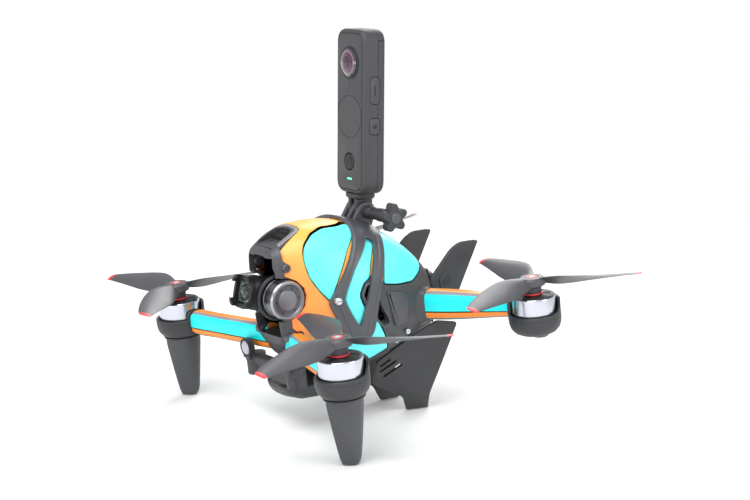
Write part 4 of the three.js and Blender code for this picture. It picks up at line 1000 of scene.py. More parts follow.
# pale band along the U-shaped mouth
band = boolean(nose_solid(0.35), prism_z(grow(COWL_U, -0.1), 38.5, 80), "INTERSECT")
cut(band, prism_z(grow(COWL_U, -2.5), 30, 90), nose_solid(-0.8),
    block(-40, 40, -80, -54.8, 20, 80))
mount(band, "intake_rim", [RIM], sharp=28)

floor_slab = [(-58.4, 38.5), (-38, 40.8), (-38, 41.8), (-58.4, 39.3)]
intake_floor = boolean(prism_z(grow(INTAKE, -0.2), 30, 80), prism_x(floor_slab, -20, 20),
                       "INTERSECT")
mount(intake_floor, "intake_floor", [DARKER], ["intake_grille"])

# walls that fall from the mouth to the floor
wall = cut(boolean(prism_z(grow(INTAKE, 0.1), 30, 80), block(-20, 20, -57.6, -38, 38.8, 60),
                   "INTERSECT"), prism_z(grow(INTAKE, -0.5), 20, 90))
boolean(wall, nose_solid(-0.5), "INTERSECT")
mount(wall, "intake_wall", [DARKER])

slats = Build()
slat = fillet([(-47.6, 39.9), (-42.6, 40.6), (-42.6, 45.2), (-45, 44.2)], 0.5, 3)
for k in range(7):
    x = -7.5 + 2.5 * k
    slats.add(*plate(slat, x - 0.45, x + 0.45, x_wise, soft=0.15))
slats.add(*box(-8.4, 8.4, -42.7, -41.9, 40.0, 45.6))
slats.piece("intake_slats", [BLACK])


def crease_place(y, z, along):
    """the crease runs slightly askew of the middle plane"""
    return along + 2.2 + 0.12 * y, y, z


crease = [(-58.2, 39.1), (-47.6, 40.4), (-47.6, 41.2), (-58.2, 39.4)]
Build().add(*plate(crease, -0.5, 0.5, crease_place, soft=0.12)).piece("intake_crease", [DARK])

# ---------------------------------------------------------------- nose sensors and windows
cheeks = Build()
for _, side in SIDES:
    turn = outward(side)
    # y, z, distance of the outer end from the middle plane, radius
    for y, z, end, radius in ((-55.3, 27.4, 21.8, 2.8), (-56.0, -17.5, 20.6, 3.9)):
        at = vec(0, y, z)
        barrel = [(0, 12), (radius, 12), (radius, end - 1.0), (radius - 0.6, end),
                  (radius - 1.1, end), (radius - 1.3, end - 0.7), (0, end - 0.7)]
        glass = [(0, end - 0.8), (radius - 1.35, end - 0.8), (radius - 1.9, end - 0.3),
                 (0, end - 0.05)]
        cheeks.add(*lathe(soften(barrel, 0.25), 48, turn, at), 0)
        cheeks.add(*lathe(glass, 40, turn, at), 1)
    stub = [(0, 14), (4.4, 14), (4.4, 22.8), (3.9, 23.6), (0, 23.6)]
    cheeks.add(*lathe(soften(stub, 0.3), 48, turn, vec(0, -52.0, -17.6)), 2)
EYE = ringed_glass("sensor_eye", to_row((0, -55.3, 27.4))[0], (1, 0, 0), radius=3.0, rough=0.05,
                   stops=[(0.0, (10, 12, 18)), (0.35, (30, 40, 62)), (0.8, (12, 12, 16)),
                          (1.0, (20, 20, 22))])
cheeks.piece("cheek_sensors", [GREY_SMOOTH, EYE, BLACK], sharp=35)

# dark windows behind the openings, hollowed just outside the camera's sweep
SWEEP_R, EYE_R = 24.2, 25.55
upper_window = [(-13.9, 14.3), (14, 14.3), (14, 24.8), (11.3, 31.9), (4.9, 33.4), (-4.9, 33.4),
                (-10.8, 31.2), (-13.7, 24.8)]
lower_window = [(-12.1, -14.3), (12.3, -14.3), (12.9, -5.3), (-13.7, -5.3)]
windows = prism_y(fillet(upper_window, 2), -57.3, -40)
boolean(windows, prism_y(fillet(lower_window, 1.4), -56.8, -38), "UNION")
cut(windows, temp(*lathe(rod(SWEEP_R, -30, 30), 120, TO_LEFT, GIMBAL)))
WINDOW = dark_glass("nose_window", (8, 9, 11), (16, 17, 20), scale=60, rough=0.3, spec=0.3)
mount(windows, "nose_windows", [WINDOW], sharp=30)

# two eyes in the lower window and one in the upper, each facing the gimbal's axis
eyes = Build()
for x, dz, radius in ((-5.0, -18.4, 2.8), (6.5, -18.4, 2.8), (1.0, 19.2, 1.4)):
    dy = (SWEEP_R ** 2 - dz ** 2) ** 0.5
    turn = rot("x", np.degrees(np.arctan2(dz, dy))) @ TO_NOSE
    eye = [(0, 0), (radius + 0.9, 0), (radius + 0.9, 1.0), (radius, 1.6), (radius * 0.9, 1.2),
           (radius * 0.5, 1.6), (0, 1.8)]
    at = vec(x, GIMBAL_Y + dy * EYE_R / SWEEP_R, GIMBAL_Z + dz * EYE_R / SWEEP_R)
    eyes.add(*lathe(soften(eye, 0.2), 40, turn, at))
eyes.piece("nose_eyes", [BLACK], sharp=40)

# ---------------------------------------------------------------- gimbal camera
TILT = rot("x", -GIMBAL_TILT)


def on_gimbal(points):
    """points round the tilt axis, with the lens toward -y, to the airframe"""
    return np.asarray(points, float) @ TILT.T + GIMBAL


def y_ring(y, half_width, half_height, power):
    return [(x, y, z) for x, z in zip(*even_oval(half_width, half_height, power, 72))]


# y, half width, half height
HEAD = np.array([[-16.5, 10.2, 9.8], [-14, 10.6, 10.2], [-4, 10.9, 10.7], [6, 10.6, 10.6],
                 [9.5, 9.2, 9.2]], float)
head = temp(*loft([y_ring(y, *station(HEAD, y), 3.6) for y in np.linspace(-16.5, 9.5, 26)]))
boolean(head, temp(*lathe(soften(rod(8.2, -12, 11.9), 0.8), 72, TO_LEFT)), "UNION")
rings = []
for y in np.linspace(-15.5, -21, 10):
    t = (y + 15.5) / -5.5
    rings.append(y_ring(y, 10.5 + 0.6 * t, 10.1 + 0.25 * t, 3.4))
hood = temp(*loft(rings[::-1]))
cut(hood, prism_y(fillet(rect(8.4, -7.6, 7.6), 2.5), -30, -16.4),
    prism_y(fillet([(-6.4, -14), (6.4, -14), (5, 14), (-5, 14)], 0.8), -30, -18.6),
    prism_y(fillet(rect(14, -5.2, 5.2), 0.8), -30, -18.6))
boolean(head, hood, "UNION")
cut(head, prism_y(fillet(rect(8, -7, 7), 2), -30, -14.9))
# fine grooves round the barrel
for y in (-11.2, -8.6):
    outer = temp(*loft([y_ring(place, 12, 12, 3.6) for place in (y, y + 0.55)]))
    inner = temp(*loft([y_ring(place, 10.35, 10.1, 3.6) for place in (y - 0.2, y + 0.75)]))
    cut(head, cut(outer, inner))
move_verts(head, on_gimbal)
mount(head, "camera_barrel", [BLACK], ["camera_head"], "nose_camera", sharp=30)


def front_glass():
    glass = Build()
    lens_ring = soften([(0, 0), (5.4, 0), (5.4, 0.5), (4.6, 1.1), (0, 1.1)], 0.2)
    lens = [(0, 0.9), (4.3, 0.9), (3.6, 1.5), (2.4, 2.0), (0, 2.25)]
    parts = (plate(fillet(rect(7.7, -6.7, 6.7), 2), -16.4, -14.8, y_wise, soft=0.25),
             lathe(lens_ring, 56, TO_NOSE, vec(0, -16.2, 0)),
             lathe(lens, 56, TO_NOSE, vec(0, -16.2, 0)))
    for slot, (verts, faces) in enumerate(parts):
        glass.add(on_gimbal(verts), faces, slot)
    centre, ahead = to_row(on_gimbal([(0, -16, 0), (0, -17, 0)]))
    axis = (ahead - centre) / np.linalg.norm(ahead - centre)
    green = dark_glass("camera_window_green", (44, 62, 60), (84, 108, 98), scale=90, rough=0.08,
                       coat=1.0, spec=0.8)
    rings = ringed_glass(
        "lens_rings", centre, axis, radius=4.6, rough=0.03,
        stops=[(0.0, (60, 120, 120)), (0.22, (14, 34, 40)), (0.45, (8, 10, 16)),
               (0.62, (30, 60, 66)), (0.75, (10, 12, 14)), (1.0, (24, 26, 28))])
    glass.piece("camera_front_glass", [green, BLACK, rings], ["camera_window"], "lens_glass",
                "nose_camera", sharp=40)


front_glass()


def tilt_motor():
    """stepped end cap; black pins stand for its ring of small holes as painted shade, and its
    chamfered rim is lighter, a painted highlight
    """
    motor = Build()
    lip = GIMBAL_R - 0.35
    profile = [(0, 12.6), (GIMBAL_R, 12.6), (GIMBAL_R, 15.2), (lip, 15.4), (lip, 16),
               (GIMBAL_R, 16.2), (GIMBAL_R, 24), (GIMBAL_R - 0.9, 25), (9.9, 25), (9.4, 24.1),
               (6.6, 24.1), (6.2, 24.7), (0, 24.7)]
    verts, faces = lathe(soften(profile, 0.22), 96, TO_LEFT, GIMBAL)
    along = face_means(verts[:, 0], faces)
    radius = face_means(np.hypot(verts[:, 1] - GIMBAL_Y, verts[:, 2] - GIMBAL_Z), faces)
    edge_or_face = np.where(radius > 11.2, 3, np.where((radius > 6.5) & (radius < 9.3), 2, 1))
    motor.add(verts, faces, np.where(along < 23.6, 0, edge_or_face))
    # black pins are painted shade standing for the small holes
    for k in range(6):
        angle = 2 * math.pi * k / 6
        at = GIMBAL + vec(0, 8 * math.cos(angle), 8 * math.sin(angle))
        motor.add(*lathe(rod(0.55, 24.0, 24.45), 16, TO_LEFT, at), 4)
    cap = metal("gimbal_cap", (126, 127, 132), rough=0.42, bump=0.03)
    ring = metal("gimbal_ring", (92, 93, 98), rough=0.4, bump=0.05)
    # the chamfered rim is a lighter copy of the cap metal: a painted highlight
    edge = metal("gimbal_edge_painted_highlight", (170, 171, 177), rough=0.3, bump=0.03)
    wall = metal("gimbal_side", (112, 113, 117), rough=0.28, bump=0.03)
    motor.piece("tilt_motor", [wall, cap, ring, edge, BLACK], ["gimbal_motor"], "silver_metal",
                sharp=28)


tilt_motor()
bearing = [(0, -21), (8.4, -21), (9.4, -20), (9.4, -13.4), (8.4, -12.4), (0, -12.4)]
Build().add(*lathe(soften(bearing, 0.3), 72, TO_LEFT, GIMBAL)).piece(
    "tilt_bearing", [GREY_SMOOTH], ["gimbal_bearing"], "grey_plastic")
seat = [(12.5, 11), (14.3, 11), (14.6, 12.2), (14, 13.4), (12.9, 13.6), (12.5, 12.6), (12.5, 11)]
Build().add(*lathe(soften(seat, 0.2), 80, TO_LEFT, GIMBAL)).piece("tilt_motor_seat", [DARKER])

# ---------------------------------------------------------------- rotors
# radius, chord, thickness, twist in degrees, sweep
BLADE = np.array([
    [4, 9, 3.6, 30, 0], [15, 14.5, 2.4, 35, 1.2], [23, 17.6, 2.1, 30, 1.4], [32, 18, 1.9, 25, 1],
    [44, 15.8, 1.6, 20, 0.1], [56, 12.3, 1.4, 16, -1.5], [63.5, 9.4, 1.15, 14, -3.1],
    [66, 8.2, 1, 13.5, -3.9], [66.9, 6.9, 0.9, 13.3, -4.2], [PROP_R, 4.2, 0.7, 13, -4.4]], float)
TIP_R = 64.15      # the tip beyond this radius is red


def blade(angle):
    """verts, faces and slots of one blade that points along an angle"""
    radii = np.unique(np.r_[np.linspace(4, 63.6, 31), 64.1, 64.2, np.linspace(64.7, PROP_R, 10)])
    count = 24
    around = np.arange(count) * 2 * np.pi / count
    part, sine = np.cos(around), np.sin(around)
    turn = rot("z", angle)
    rings = []
    for radius in radii:
        chord, thickness, twist, sweep = station(BLADE, radius)
        camber = 0.05 * chord * (1 - part * part)
        fullness = 0.55 + 0.45 * (1 - part * part) ** 0.5
        rise = np.where(sine > 0, 1.0, 0.62) * sine * fullness * thickness / 2 + camber
        across = part * chord / 2
        c, s = math.cos(math.radians(twist)), math.sin(math.radians(twist))
        ring = np.stack([np.full(count, radius), -(across * c - rise * s + sweep),
                         across * s + rise * c], 1)
        rings.append(list(ring @ turn.T))
    slots = [int(radius >= TIP_R) for radius in radii[:-1] for _ in range(count)]
    return *loft(rings), slots + [0, 1]


HUB = soften([(0, -7.4), (5.5, -7.4), (5.7, -3.6), (8.2, -2.4), (8.2, 1.4), (7.2, 2.6),
              (4.4, 2.9), (3.7, 2.7), (3.5, 2.3), (0, 2.3)], 0.25)
HUB_RING = [(2.3, 2.1), (3.4, 2.1), (3.4, 2.85), (2.3, 2.85), (2.3, 2.1)]
HUB_CAP = soften(rod(1.9, 2.1, 3.0), 0.3)
HUB_LOW_RING = [(4.6, -8), (6.1, -8), (6.1, -7.2), (4.6, -7.2), (4.6, -8)]
BELL = soften([(0, -8.15), (4.5, -8.15), (4.9, -8.5), (9.2, -8.5), (12.2, -8.6), (13.2, -8.9),
               (BELL_R, -9.6), (BELL_R, -20.2), (BELL_R - 0.3, -21), (12.5, -21), (12.5, -11.4),
               (1.5, -11.4), (1.5, -27.4), (0, -27.4)], 0.3)
BELL_VENT = fillet([(6.2, -1.9), (11, -3.2), (11, 3.2), (6.2, 1.9)], 0.8, 3)
BELL_SCREW = [(0, -8.6), (0.9, -8.6), (0.9, -8), (0.45, -8), (0.45, -8.2), (0, -8.2)]
CAP_PALE = plastic("hub_cap", (150, 190, 195), rough=0.4)
PROPELLER = plastic("propeller_plastic", (72, 72, 77), rough=0.42, variation=0.05, wear=0.1)

for name, x, y, z, phase in CORNERS:
    motor = vec(x, y, z)
    rotor = Build()
    for k in range(3):
        verts, faces, slots = blade(phase + 120 * k)
        rotor.add(np.asarray(verts) + motor, faces, slots)
    rotor.add(*lathe(HUB, 56, at=motor))
    rotor.add(*lathe(HUB_RING, 56, at=motor), 1)
    rotor.add(*lathe(HUB_CAP, 40, at=motor), 2)
    rotor.add(*lathe(HUB_LOW_RING, 56, at=motor), 1)
    rotor.piece("blades_" + name, [PROPELLER, RED, CAP_PALE], ["propeller_" + name],
                "dark_plastic", "rotor_" + name, sharp=42)

    bell = Build()
    verts, faces = lathe(BELL, 96, at=motor)
    height = face_means(verts[:, 2], faces) - z
    radius = face_means(np.hypot(verts[:, 0] - x, verts[:, 1] - y), faces)
    bell.add(verts, faces, np.where((height > -9.3) & (radius < 13.4), 4, 0))
    # near-black plates on the bell top are painted shade standing for the vent openings
    for k in range(6):
        verts, faces = plate(BELL_VENT, -9.6, -8.42, z_wise, soft=0.05)
        bell.add(np.asarray(verts) @ rot("z", 60 * k).T + motor, faces, 2)
    for k in range(4):
        verts, faces = lathe(BELL_SCREW, 16, at=(3, 0, 0))
        bell.add(verts @ rot("z", 90 * k + 45).T + motor, faces, 3)
    bell.piece("bell_" + name, [SILVER, SILVER_CAP, VENT_SHADE, STEEL, DARKER], ["motor_bell_" + name],
               "silver_metal", "rotor_" + name, sharp=28)

# ---------------------------------------------------------------- motor pods
POD = soften([(0, -23.6), (14.5, -23.6), (14.5, -20.4), (14.9, -20), (POD_R - 0.4, -20),
              (POD_R, -20.5), (POD_R, -24.5)], 0.2)
POD += [(16.1, -27.2), (15.2, -29.5), (13.3, -31.8), (10.5, -33.2), (0, -33.2)]
# side view (y, z) of what is left of the wall round the motor
POD_WALL = fillet([(2, -24), (2, -19.9), (7.5, -19.4), (11, -15.4), (13.4, -12.2), (20, -11.2),
                   (20, -24)], 1.0)
POD_SEAM = [(16.3, -22.6), (POD_R + 0.04, -22.6), (POD_R + 0.04, -22.2), (16.3, -22.2),
            (16.3, -22.6)]
POD_FOOT = soften([(0, -33), (5.4, -33), (5.4, -35.4), (4.9, -36.2), (2.8, -36.2), (2.6, -35.6),
                   (0, -35.6)], 0.2)
POD_RING = [(10.2, -33.6), (12.6, -33.6), (12.9, -32.8), (10.4, -32.6), (10.2, -33.6)]

for name, x, y, z, _ in CORNERS:
    motor, front = vec(x, y, z), y < 0
    pod = temp(*lathe(POD, 96))
    wall = cut(temp(*lathe(rod(16.45, -24, -11.2), 96)), temp(*lathe(rod(14.8, -30, 0), 96)))
    boolean(wall, prism_x(POD_WALL, -20, 20), "INTERSECT")
    boolean(pod, wall, "UNION")
    # root of the arm, where it meets the pod
    heading = (FRONT_HEADING if front else REAR_HEADING).copy()
    if x < 0:
        heading[0] *= -1
    root_height, root_z = (8.1, -22.5) if front else (6.9, -16.8)
    root = temp(*loft([
        arm_ring(vec(0, 0, root_z) + heading * distance, heading, half_height, half_width, 3.2)
        for distance, half_height, half_width in (
            (-15.9, root_height, 6.5), (-13.5, root_height, 6.5), (-8, root_height - 1, 6))]))
    cut(root, temp(*lathe(rod(14.8, -23.6, 10), 72)))
    boolean(root, temp(*lathe(rod(POD_R - 0.15, -60, 10), 96)), "INTERSECT")
    boolean(pod, root, "UNION")
    for vert in pod.data.vertices:
        vert.co += Vector(motor) / 1000.0
    mount(pod, "pod_" + name, [DARK], ["motor_pod_" + name], sharp=34)

    trim = Build()
    if front:
        trim.add(*lathe(POD_RING, 64, at=motor))
    else:
        trim.add(*lathe(POD_FOOT, 48, at=motor + vec(0, 3, 0)))
    trim.add(*lathe(POD_SEAM, 96, at=motor), 1)
    trim.piece("pod_trim_" + name, [DARKER, GROOVE])

# ---------------------------------------------------------------- arm sleeves
CROWN_X = [0.0, 0.15, 0.3, 0.42]      # crown points, as parts of the half width
# flank points: height as a part of the half height, inset in mm (the steps are grooves)
FLANK_STEPS = [
    (0.96, 0), (0.945, 0.25), (0.795, 0.25), (0.78, 0), (0.66, 0), (0.52, 0), (0.38, 0),
    (0.24, 0), (0.08, 0), (-0.10, 0), (-0.30, 0), (-0.32, 0.5), (-0.40, 0.5), (-0.42, 0),
    (-0.5, 0), (-0.62, 0), (-0.72, 0), (-0.80, 0), (-0.86, 0.2), (-0.93, 0.2)]
# the lower orange band and the underside colour are painted shade; the other bands are the arm's own
# colours
SLEEVE_MATS = [ORANGE_ARM, GREY_ARM, CYAN_ARM, GROOVE, ORANGE_LOW, TEAL]
HALF_BANDS = [0] * 4 + [1] * 2 + [2] * 8 + [3] * 2 + [4] * 5 + [5] * 4
SLEEVE_BANDS = HALF_BANDS + HALF_BANDS[::-1]
# distance, half height, half width
FRONT_SLEEVE = np.array([[-9, 8.4, 5.6], [2, 8.4, 5.6], [45, 8.1, 5.6], [64, 7.9, 5.6],
                         [72, 6.2, 5.2]], float)
REAR_SLEEVE = np.array([[3.6, 9.9, 6.95], [18, 9.7, 6.85], [32, 9, 6.4], [52, 7.6, 6],
                        [64, 6.9, 5.8], [72, 6.5, 5.6]], float)


def sleeve_ring(centre, heading, half_height, half_width):
    power = 3.0
    half = [(half_width * x, half_height * (1 - x ** power) ** (1 / power)) for x in CROWN_X]
    half += [(half_width * (1 - abs(z) ** power) ** (1 / power) - inset, half_height * z)
             for z, inset in FLANK_STEPS]
    half += [(half_width * 0.35, -half_height * 0.985), (0.0, -half_height)]
    return ring_across(centre, heading, half + [(-x, z) for x, z in half[::-1][1:-1]])


for name, x, y, _, _ in CORNERS:
    if y < 0:
        table, place, heading = FRONT_SLEEVE, front_arm, FRONT_HEADING
    else:
        table, place, heading = REAR_SLEEVE, rear_arm, REAR_HEADING
    rings = [sleeve_ring(place(distance), heading, *station(table, distance))
             for distance in np.linspace(table[0][0], table[-1][0], 26)]
    verts, faces = loft(rings)
    bands = SLEEVE_BANDS * (len(rings) - 1) + [0, 0]
    sleeve = new_object("tmp", mirror(verts, x) / 1000.0, faces, bands, SLEEVE_MATS)
    cut(sleeve, temp(*lathe(rod(16.7, -60, 40), 96, at=vec(x, y, 0))))
    mount(sleeve, "sleeve_" + name, SLEEVE_MATS, ["arm_" + name], sharp=26)

# ---------------------------------------------------------------- landing legs
# z, half width, half depth
LEG = np.array([[-76, 2.6, 3.2], [-74.6, 4.2, 5], [-72, 5.2, 6.2], [-66, 6.3, 7.4],
                [-56, 7.8, 8.9], [-46, 9.2, 10.2], [-38, 10.2, 11.2], [-33.5, 10.6, 11.4]], float)

for side_name, side in SIDES:
    around = np.arange(72) * 2 * np.pi / 72
    cosine, sine = np.cos(around), np.sin(around)
    rings = []
    for z in np.linspace(-33.3, -76, 40):
        width, depth = station(LEG, z)
        narrowing = np.where(sine < 0, np.abs(cosine) ** 1.45, np.abs(cosine) ** 0.9)
        x = width * np.sign(cosine) * narrowing
        y = np.where(sine < 0, depth * sine * (1 + 0.12 * sine ** 4), depth * sine)
        rings.append(list(np.stack([x + MOTOR_X * side, y - MOTOR_Y, np.full(72, z)], 1)))
    leg = cut(temp(*loft(rings)), below_floor())
    mount(leg, "leg_" + side_name, [GREY], ["landing_leg_front_" + side_name],
          sharp=40)

# ---------------------------------------------------------------- tail fins
# side views, (y, z)
UPPER_FIN = densify(fillet(
    [(86.5, 14.6), (83, 15.8), (71.5, 16.8), (64, 13.6), (45, -3), (47, -13.5), (66.5, -16.5)],
    [1.5, 3, 3.5, 3, 3, 1, 3]), 3.0)
PENTAGON = [(52, -3.6), (59.5, 1.4), (64, -2.6), (63.5, -10.5), (53, -11.5)]
LOWER_FIN = densify(fillet(
    [(41.6, -27), (56.6, -31.4), (48.5, -57), (40.8, -80), (40.4, -93), (26.8, -93), (21.8, -78),
     (-1, -62.5), (0, -46.8), (9.3, -41.6), (24, -34)],
    [2, 3, 2, 2, 1, 1, 2.5, 2, 2, 1, 1]), 3.0)
# start y, z and run in y, z of the slots in the lower fin
FIN_SLOTS = ((2.2, -50.4, 7.2, 3.7), (2.4, -54.2, 11.4, 5.3), (5.2, -58.3, 12.9, 6.0))
FIN_X, FIN_HALF, SLOT_HALF = 26.2, 1.25, 1.15
LEAN_X, LEAN_PER_Z, LEAN_PER_Y = 38.34, 0.3065, 0.1426      # plane of the left lower fin
PLATE_SCREW = soften([(0, -1.5), (1.8, -1.5), (1.8, 0.7), (1.3, 1.15), (0, 1.2)], 0.12)

for side_name, side in SIDES:
    place = outward_x(side)
    fin = Build().add(*plate(UPPER_FIN, FIN_X - FIN_HALF, FIN_X + FIN_HALF, place, soft=0.8,
                             steps=4))
    # a stepped pentagon raised on both faces
    for face in (1, -1):
        fin.add(*plate(fillet(PENTAGON, 1.2), *sorted((FIN_X + face * 1.0, FIN_X + face * 1.95)),
                       place, soft=0.35))
        fin.add(*plate(fillet(grow(PENTAGON, -2.2), 0.8),
                       *sorted((FIN_X + face * 1.7, FIN_X + face * 2.15)), place, soft=0.2), 1)
    fin.piece("tail_fin_upper_" + side_name, [DARK, DARKER], ["upper_fin_" + side_name],
              "dark_plastic", sharp=40)

    lower = temp(*plate(LOWER_FIN, -FIN_HALF, FIN_HALF, x_wise, soft=0.7, steps=4))
    for y, z, run_y, run_z in FIN_SLOTS:
        scale = SLOT_HALF / math.hypot(run_y, run_z)
        off_y, off_z = -run_z * scale, run_y * scale
        slot = [(y - off_y, z - off_z), (y + run_y - off_y, z + run_z - off_z),
                (y + run_y + off_y, z + run_z + off_z), (y + off_y, z + off_z)]
        cut(lower, prism_x(fillet(slot, 0.7, 4), -5, 5))
    move_verts(lower, lambda p: (side * (p[0] + LEAN_X + LEAN_PER_Z * p[2] + LEAN_PER_Y * p[1]),
                                 p[1], p[2]))
    cut(lower, below_floor())
    if side < 0:
        lower.data.flip_normals()
    mount(lower, "tail_fin_lower_" + side_name, [DARK], ["lower_fin_" + side_name],
          sharp=40)

    screws = Build()
    for x, y, z in ((36.0, 18.9, -28.8), (36.6, 9.3, -32.2)):
        screws.add(*lathe(PLATE_SCREW, 32, outward(side), vec(side * (x - 0.6), y, z)))
        # the black bar across each head is painted shade standing for the screw slot
        screws.add(*side_box(side, x + 0.4, x + 0.62, y - 1.2, y + 1.2, z - 0.2, z + 0.2), 1)
    screws.piece("plate_screws_" + side_name, [STEEL, BLACK])

# ---------------------------------------------------------------- saddle bracket
straps = cut(hull_solid(2.6, -44, 24, 1.4, 160), hull_solid(0.35, -60, 50, 2.0, 128))
boolean(straps, both_sides(fillet(STRAP_OUTER, STRAP_RADII), 6, 60), "INTERSECT")
cut(straps, both_sides(fillet(STRAP_INNER, 1.6), 4, 60))
bridge = cut(hull_solid(2.6, -14, 18, 1.4, 160), hull_solid(0.35, -30, 40, 2.0, 128))
bridge_side = [(-1, 60), (-3.4, 45.5), (-5, 38), (12.2, 33.4), (14, 60)]
boolean(bridge, prism_x(bridge_side, -14, 14), "INTERSECT")
boolean(straps, bridge, "UNION")
mount(straps, "saddle_straps", [GREY_SMOOTH], ["saddle_bracket"], sharp=34)

# side views (y, z) of the raised centre lines of the two limbs
RIDGE_LINES = (
    [(-8, 36.5), (-18, 22.5), (-27, 9), (-30.6, 3.4), (-26.5, -9), (-22.3, -19.5)],
    [(8.4, 31.5), (1.5, 17), (-4.5, 3), (-8.6, -9.5), (-12.5, -20.5)])
# distance across the ridge, height over the hull
RIDGE_SECTION = ((-1.5, 2.2), (-1.1, 2.75), (-0.4, 3.05), (0.4, 3.05), (1.1, 2.75), (1.5, 2.2))


def ridge(line, side):
    line = np.array(line, float)
    lengths = np.r_[0, np.cumsum(np.hypot(*np.diff(line, axis=0).T))]
    where = np.linspace(0, 1, 60) * lengths[-1]
    path = np.stack([np.interp(where, lengths, line[:, k]) for k in (0, 1)], 1)
    for _ in range(6):
        path[1:-1] = (path[:-2] + 2 * path[1:-1] + path[2:]) / 4
    tangent = np.gradient(path, axis=0)
    tangent /= np.linalg.norm(tangent, axis=1, keepdims=True)
    rings = []
    for (y, z), (along_y, along_z) in zip(path, tangent):
        rings.append([hull_point(*on_hull([(y - along_z * off, z + along_y * off)], side)[0], rise)
                      for off, rise in RIDGE_SECTION])
    return loft(rings)


for side_name, side in SIDES:
    ridges = Build()
    for line in RIDGE_LINES:
        ridges.add(*ridge(line, side))
    ridges.piece("saddle_ridge_" + side_name, [GREY_SMOOTH], slot="grey_plastic", sharp=60)

# ---------------------------------------------------------------- fork and its screws
LEAN = rot("x", -32)


def on_fork(points):
    """points round the fork's axle to the airframe, leant with the saddle"""
    return np.asarray(points, float) @ LEAN.T + FORK


def upright_loft(levels, power, count):
    """solid through level rings; levels are z, half width, half depth"""
    return loft([[(x, y, z) for x, y in zip(*even_oval(half_width, half_depth, power, count))]
                 for z, half_width, half_depth in levels])


PRONG_R, PRONG_DROP = 6.4, 13
prong = arc(PRONG_R, 0, math.pi) + [(-PRONG_R - 1.5, -PRONG_DROP), (PRONG_R + 1.5, -PRONG_DROP)]
prongs = Build()
for x0, x1 in ((-8.1, -5.1), (-1.6, 1.6), (5.1, 8.1)):
    verts, faces = plate(prong, x0, x1, x_wise, soft=0.45)
    prongs.add(on_fork(verts), faces)
verts, faces = upright_loft([(-9, 8.2, 9.2), (-9.4, 8.9, 9.9), (-10.6, 9.6, 10.4),
                             (-12.2, 11.2, 11), (-14, 12, 11.8), (-18, 12.8, 12.6)], 4.2, 56)
plinth = cut(temp(on_fork(verts), faces), hull_solid(0.3, -14, 44, 2.0, 128))
prongs.piece("fork_prongs", [GREY], slot="grey_plastic", sharp=36)
mount(plinth, "fork_plinth", [GREY], sharp=40)

strap_screw = soften([(0, 34), (2.6, 34), (2.6, 37.6), (2.4, 38.4), (1.7, 38.9), (0, 38.9)], 0.3)
screws = Build()
for _, side in SIDES:
    screws.add(*lathe(strap_screw, 40, outward(side), vec(0, -31, 3.4)))
    # the black bar across each head is painted shade standing for the screw slot
    screws.add(*side_box(side, 38.6, 39.0, -32.2, -29.8, 3.15, 3.65), 1)
screws.piece("strap_screws", [STEEL, BLACK], ["saddle_screw_left", "saddle_screw_right"],
             "steel_screw")

# thumb screw with a five-lobed knob on the left
shaft = soften([(0, -11.4), (1.9, -11.4), (2.2, -10.6), (2.2, 8.5), (4.3, 8.7), (4.3, 14),
                (3.9, 14.5), (3.9, 22), (4.3, 22.5), (4.3, 30), (5.4, 31.5), (5.4, 33.7),
                (0, 33.7)], 0.3)
knob_cap = soften([(0, 40.4), (3.6, 40.4), (3.4, 41), (2.6, 41.1), (0, 41.1)], 0.15)
lobes = []
for i in range(180):
    angle = 2 * math.pi * i / 180 + 0.3
    radius = 7.6 + 1.9 * math.cos(5 * (angle - 0.3)) - 0.25 * math.cos(10 * (angle - 0.3))
    lobes.append((radius * math.cos(angle), radius * math.sin(angle)))
knob = Build().add(*lathe(shaft, 56, TO_LEFT, FORK))
knob.add(*plate(lobes, 33.5, 40.6, lambda y, z, x: (x, y + FORK_Y, z + FORK_Z), soft=0.9, steps=4))
knob.add(*lathe(knob_cap, 40, TO_LEFT, FORK), 1)
knob.piece("thumb_knob", [DARK, GREY_SMOOTH], ["thumb_screw"], "grey_plastic",
           "thumb_screw_body", sharp=38)

# ---------------------------------------------------------------- action camera
prong = arc(6.1, math.pi, 2 * math.pi) + [(6.2, 9.6), (-6.2, 9.6)]
adapter = Build()
for x0, x1 in ((-4.75, -1.95), (1.95, 4.75)):
    adapter.add(*plate(prong, x0, x1, x_wise, soft=0.4))
adapter.add(*upright_loft([(8, 7.4, 6.2), (8.4, 7.9, 6.7), (9.4, 8.4, 7.2), (11.3, 8.4, 7.2)],
                          5, 64))
adapter.piece("adapter_prongs", [DARK], ["camera_adapter"], "dark_plastic", "action_camera",
              place=to_fork, sharp=36)

CASE_WIDTH, CASE_DEPTH, CASE_BASE, CASE_HEIGHT = 32.0, 16.6, 11.5, 104.0
CASE_TOP = CASE_BASE + CASE_HEIGHT
HALF_W, HALF_D = CASE_WIDTH / 2, CASE_DEPTH / 2
LENS_Z, DIAL_Z = CASE_BASE + 83, CASE_BASE + 49
SHUTTER_Z, LIGHT_Z = CASE_BASE + 20.5, CASE_BASE + 9.5


def case_ring(inset, y):
    outline = fillet(rect(HALF_W - inset, CASE_BASE + inset, CASE_TOP - inset),
                     max(1.0, 8.775 - inset), 12)
    return [(x, y, z) for x, z in outline]


FACE = fillet(rect(HALF_W - 2.4, CASE_BASE + 2.4, CASE_TOP - 2.4), 6.6, 8)
POWER_KEY = fillet(rect(3.6, CASE_BASE + 57.5, CASE_BASE + 74.5), 6.5, 10)      # (y, z)
QUICK_KEY = fillet(rect(3.8, CASE_BASE + 38.4, CASE_BASE + 48.7), 2.6, 6)

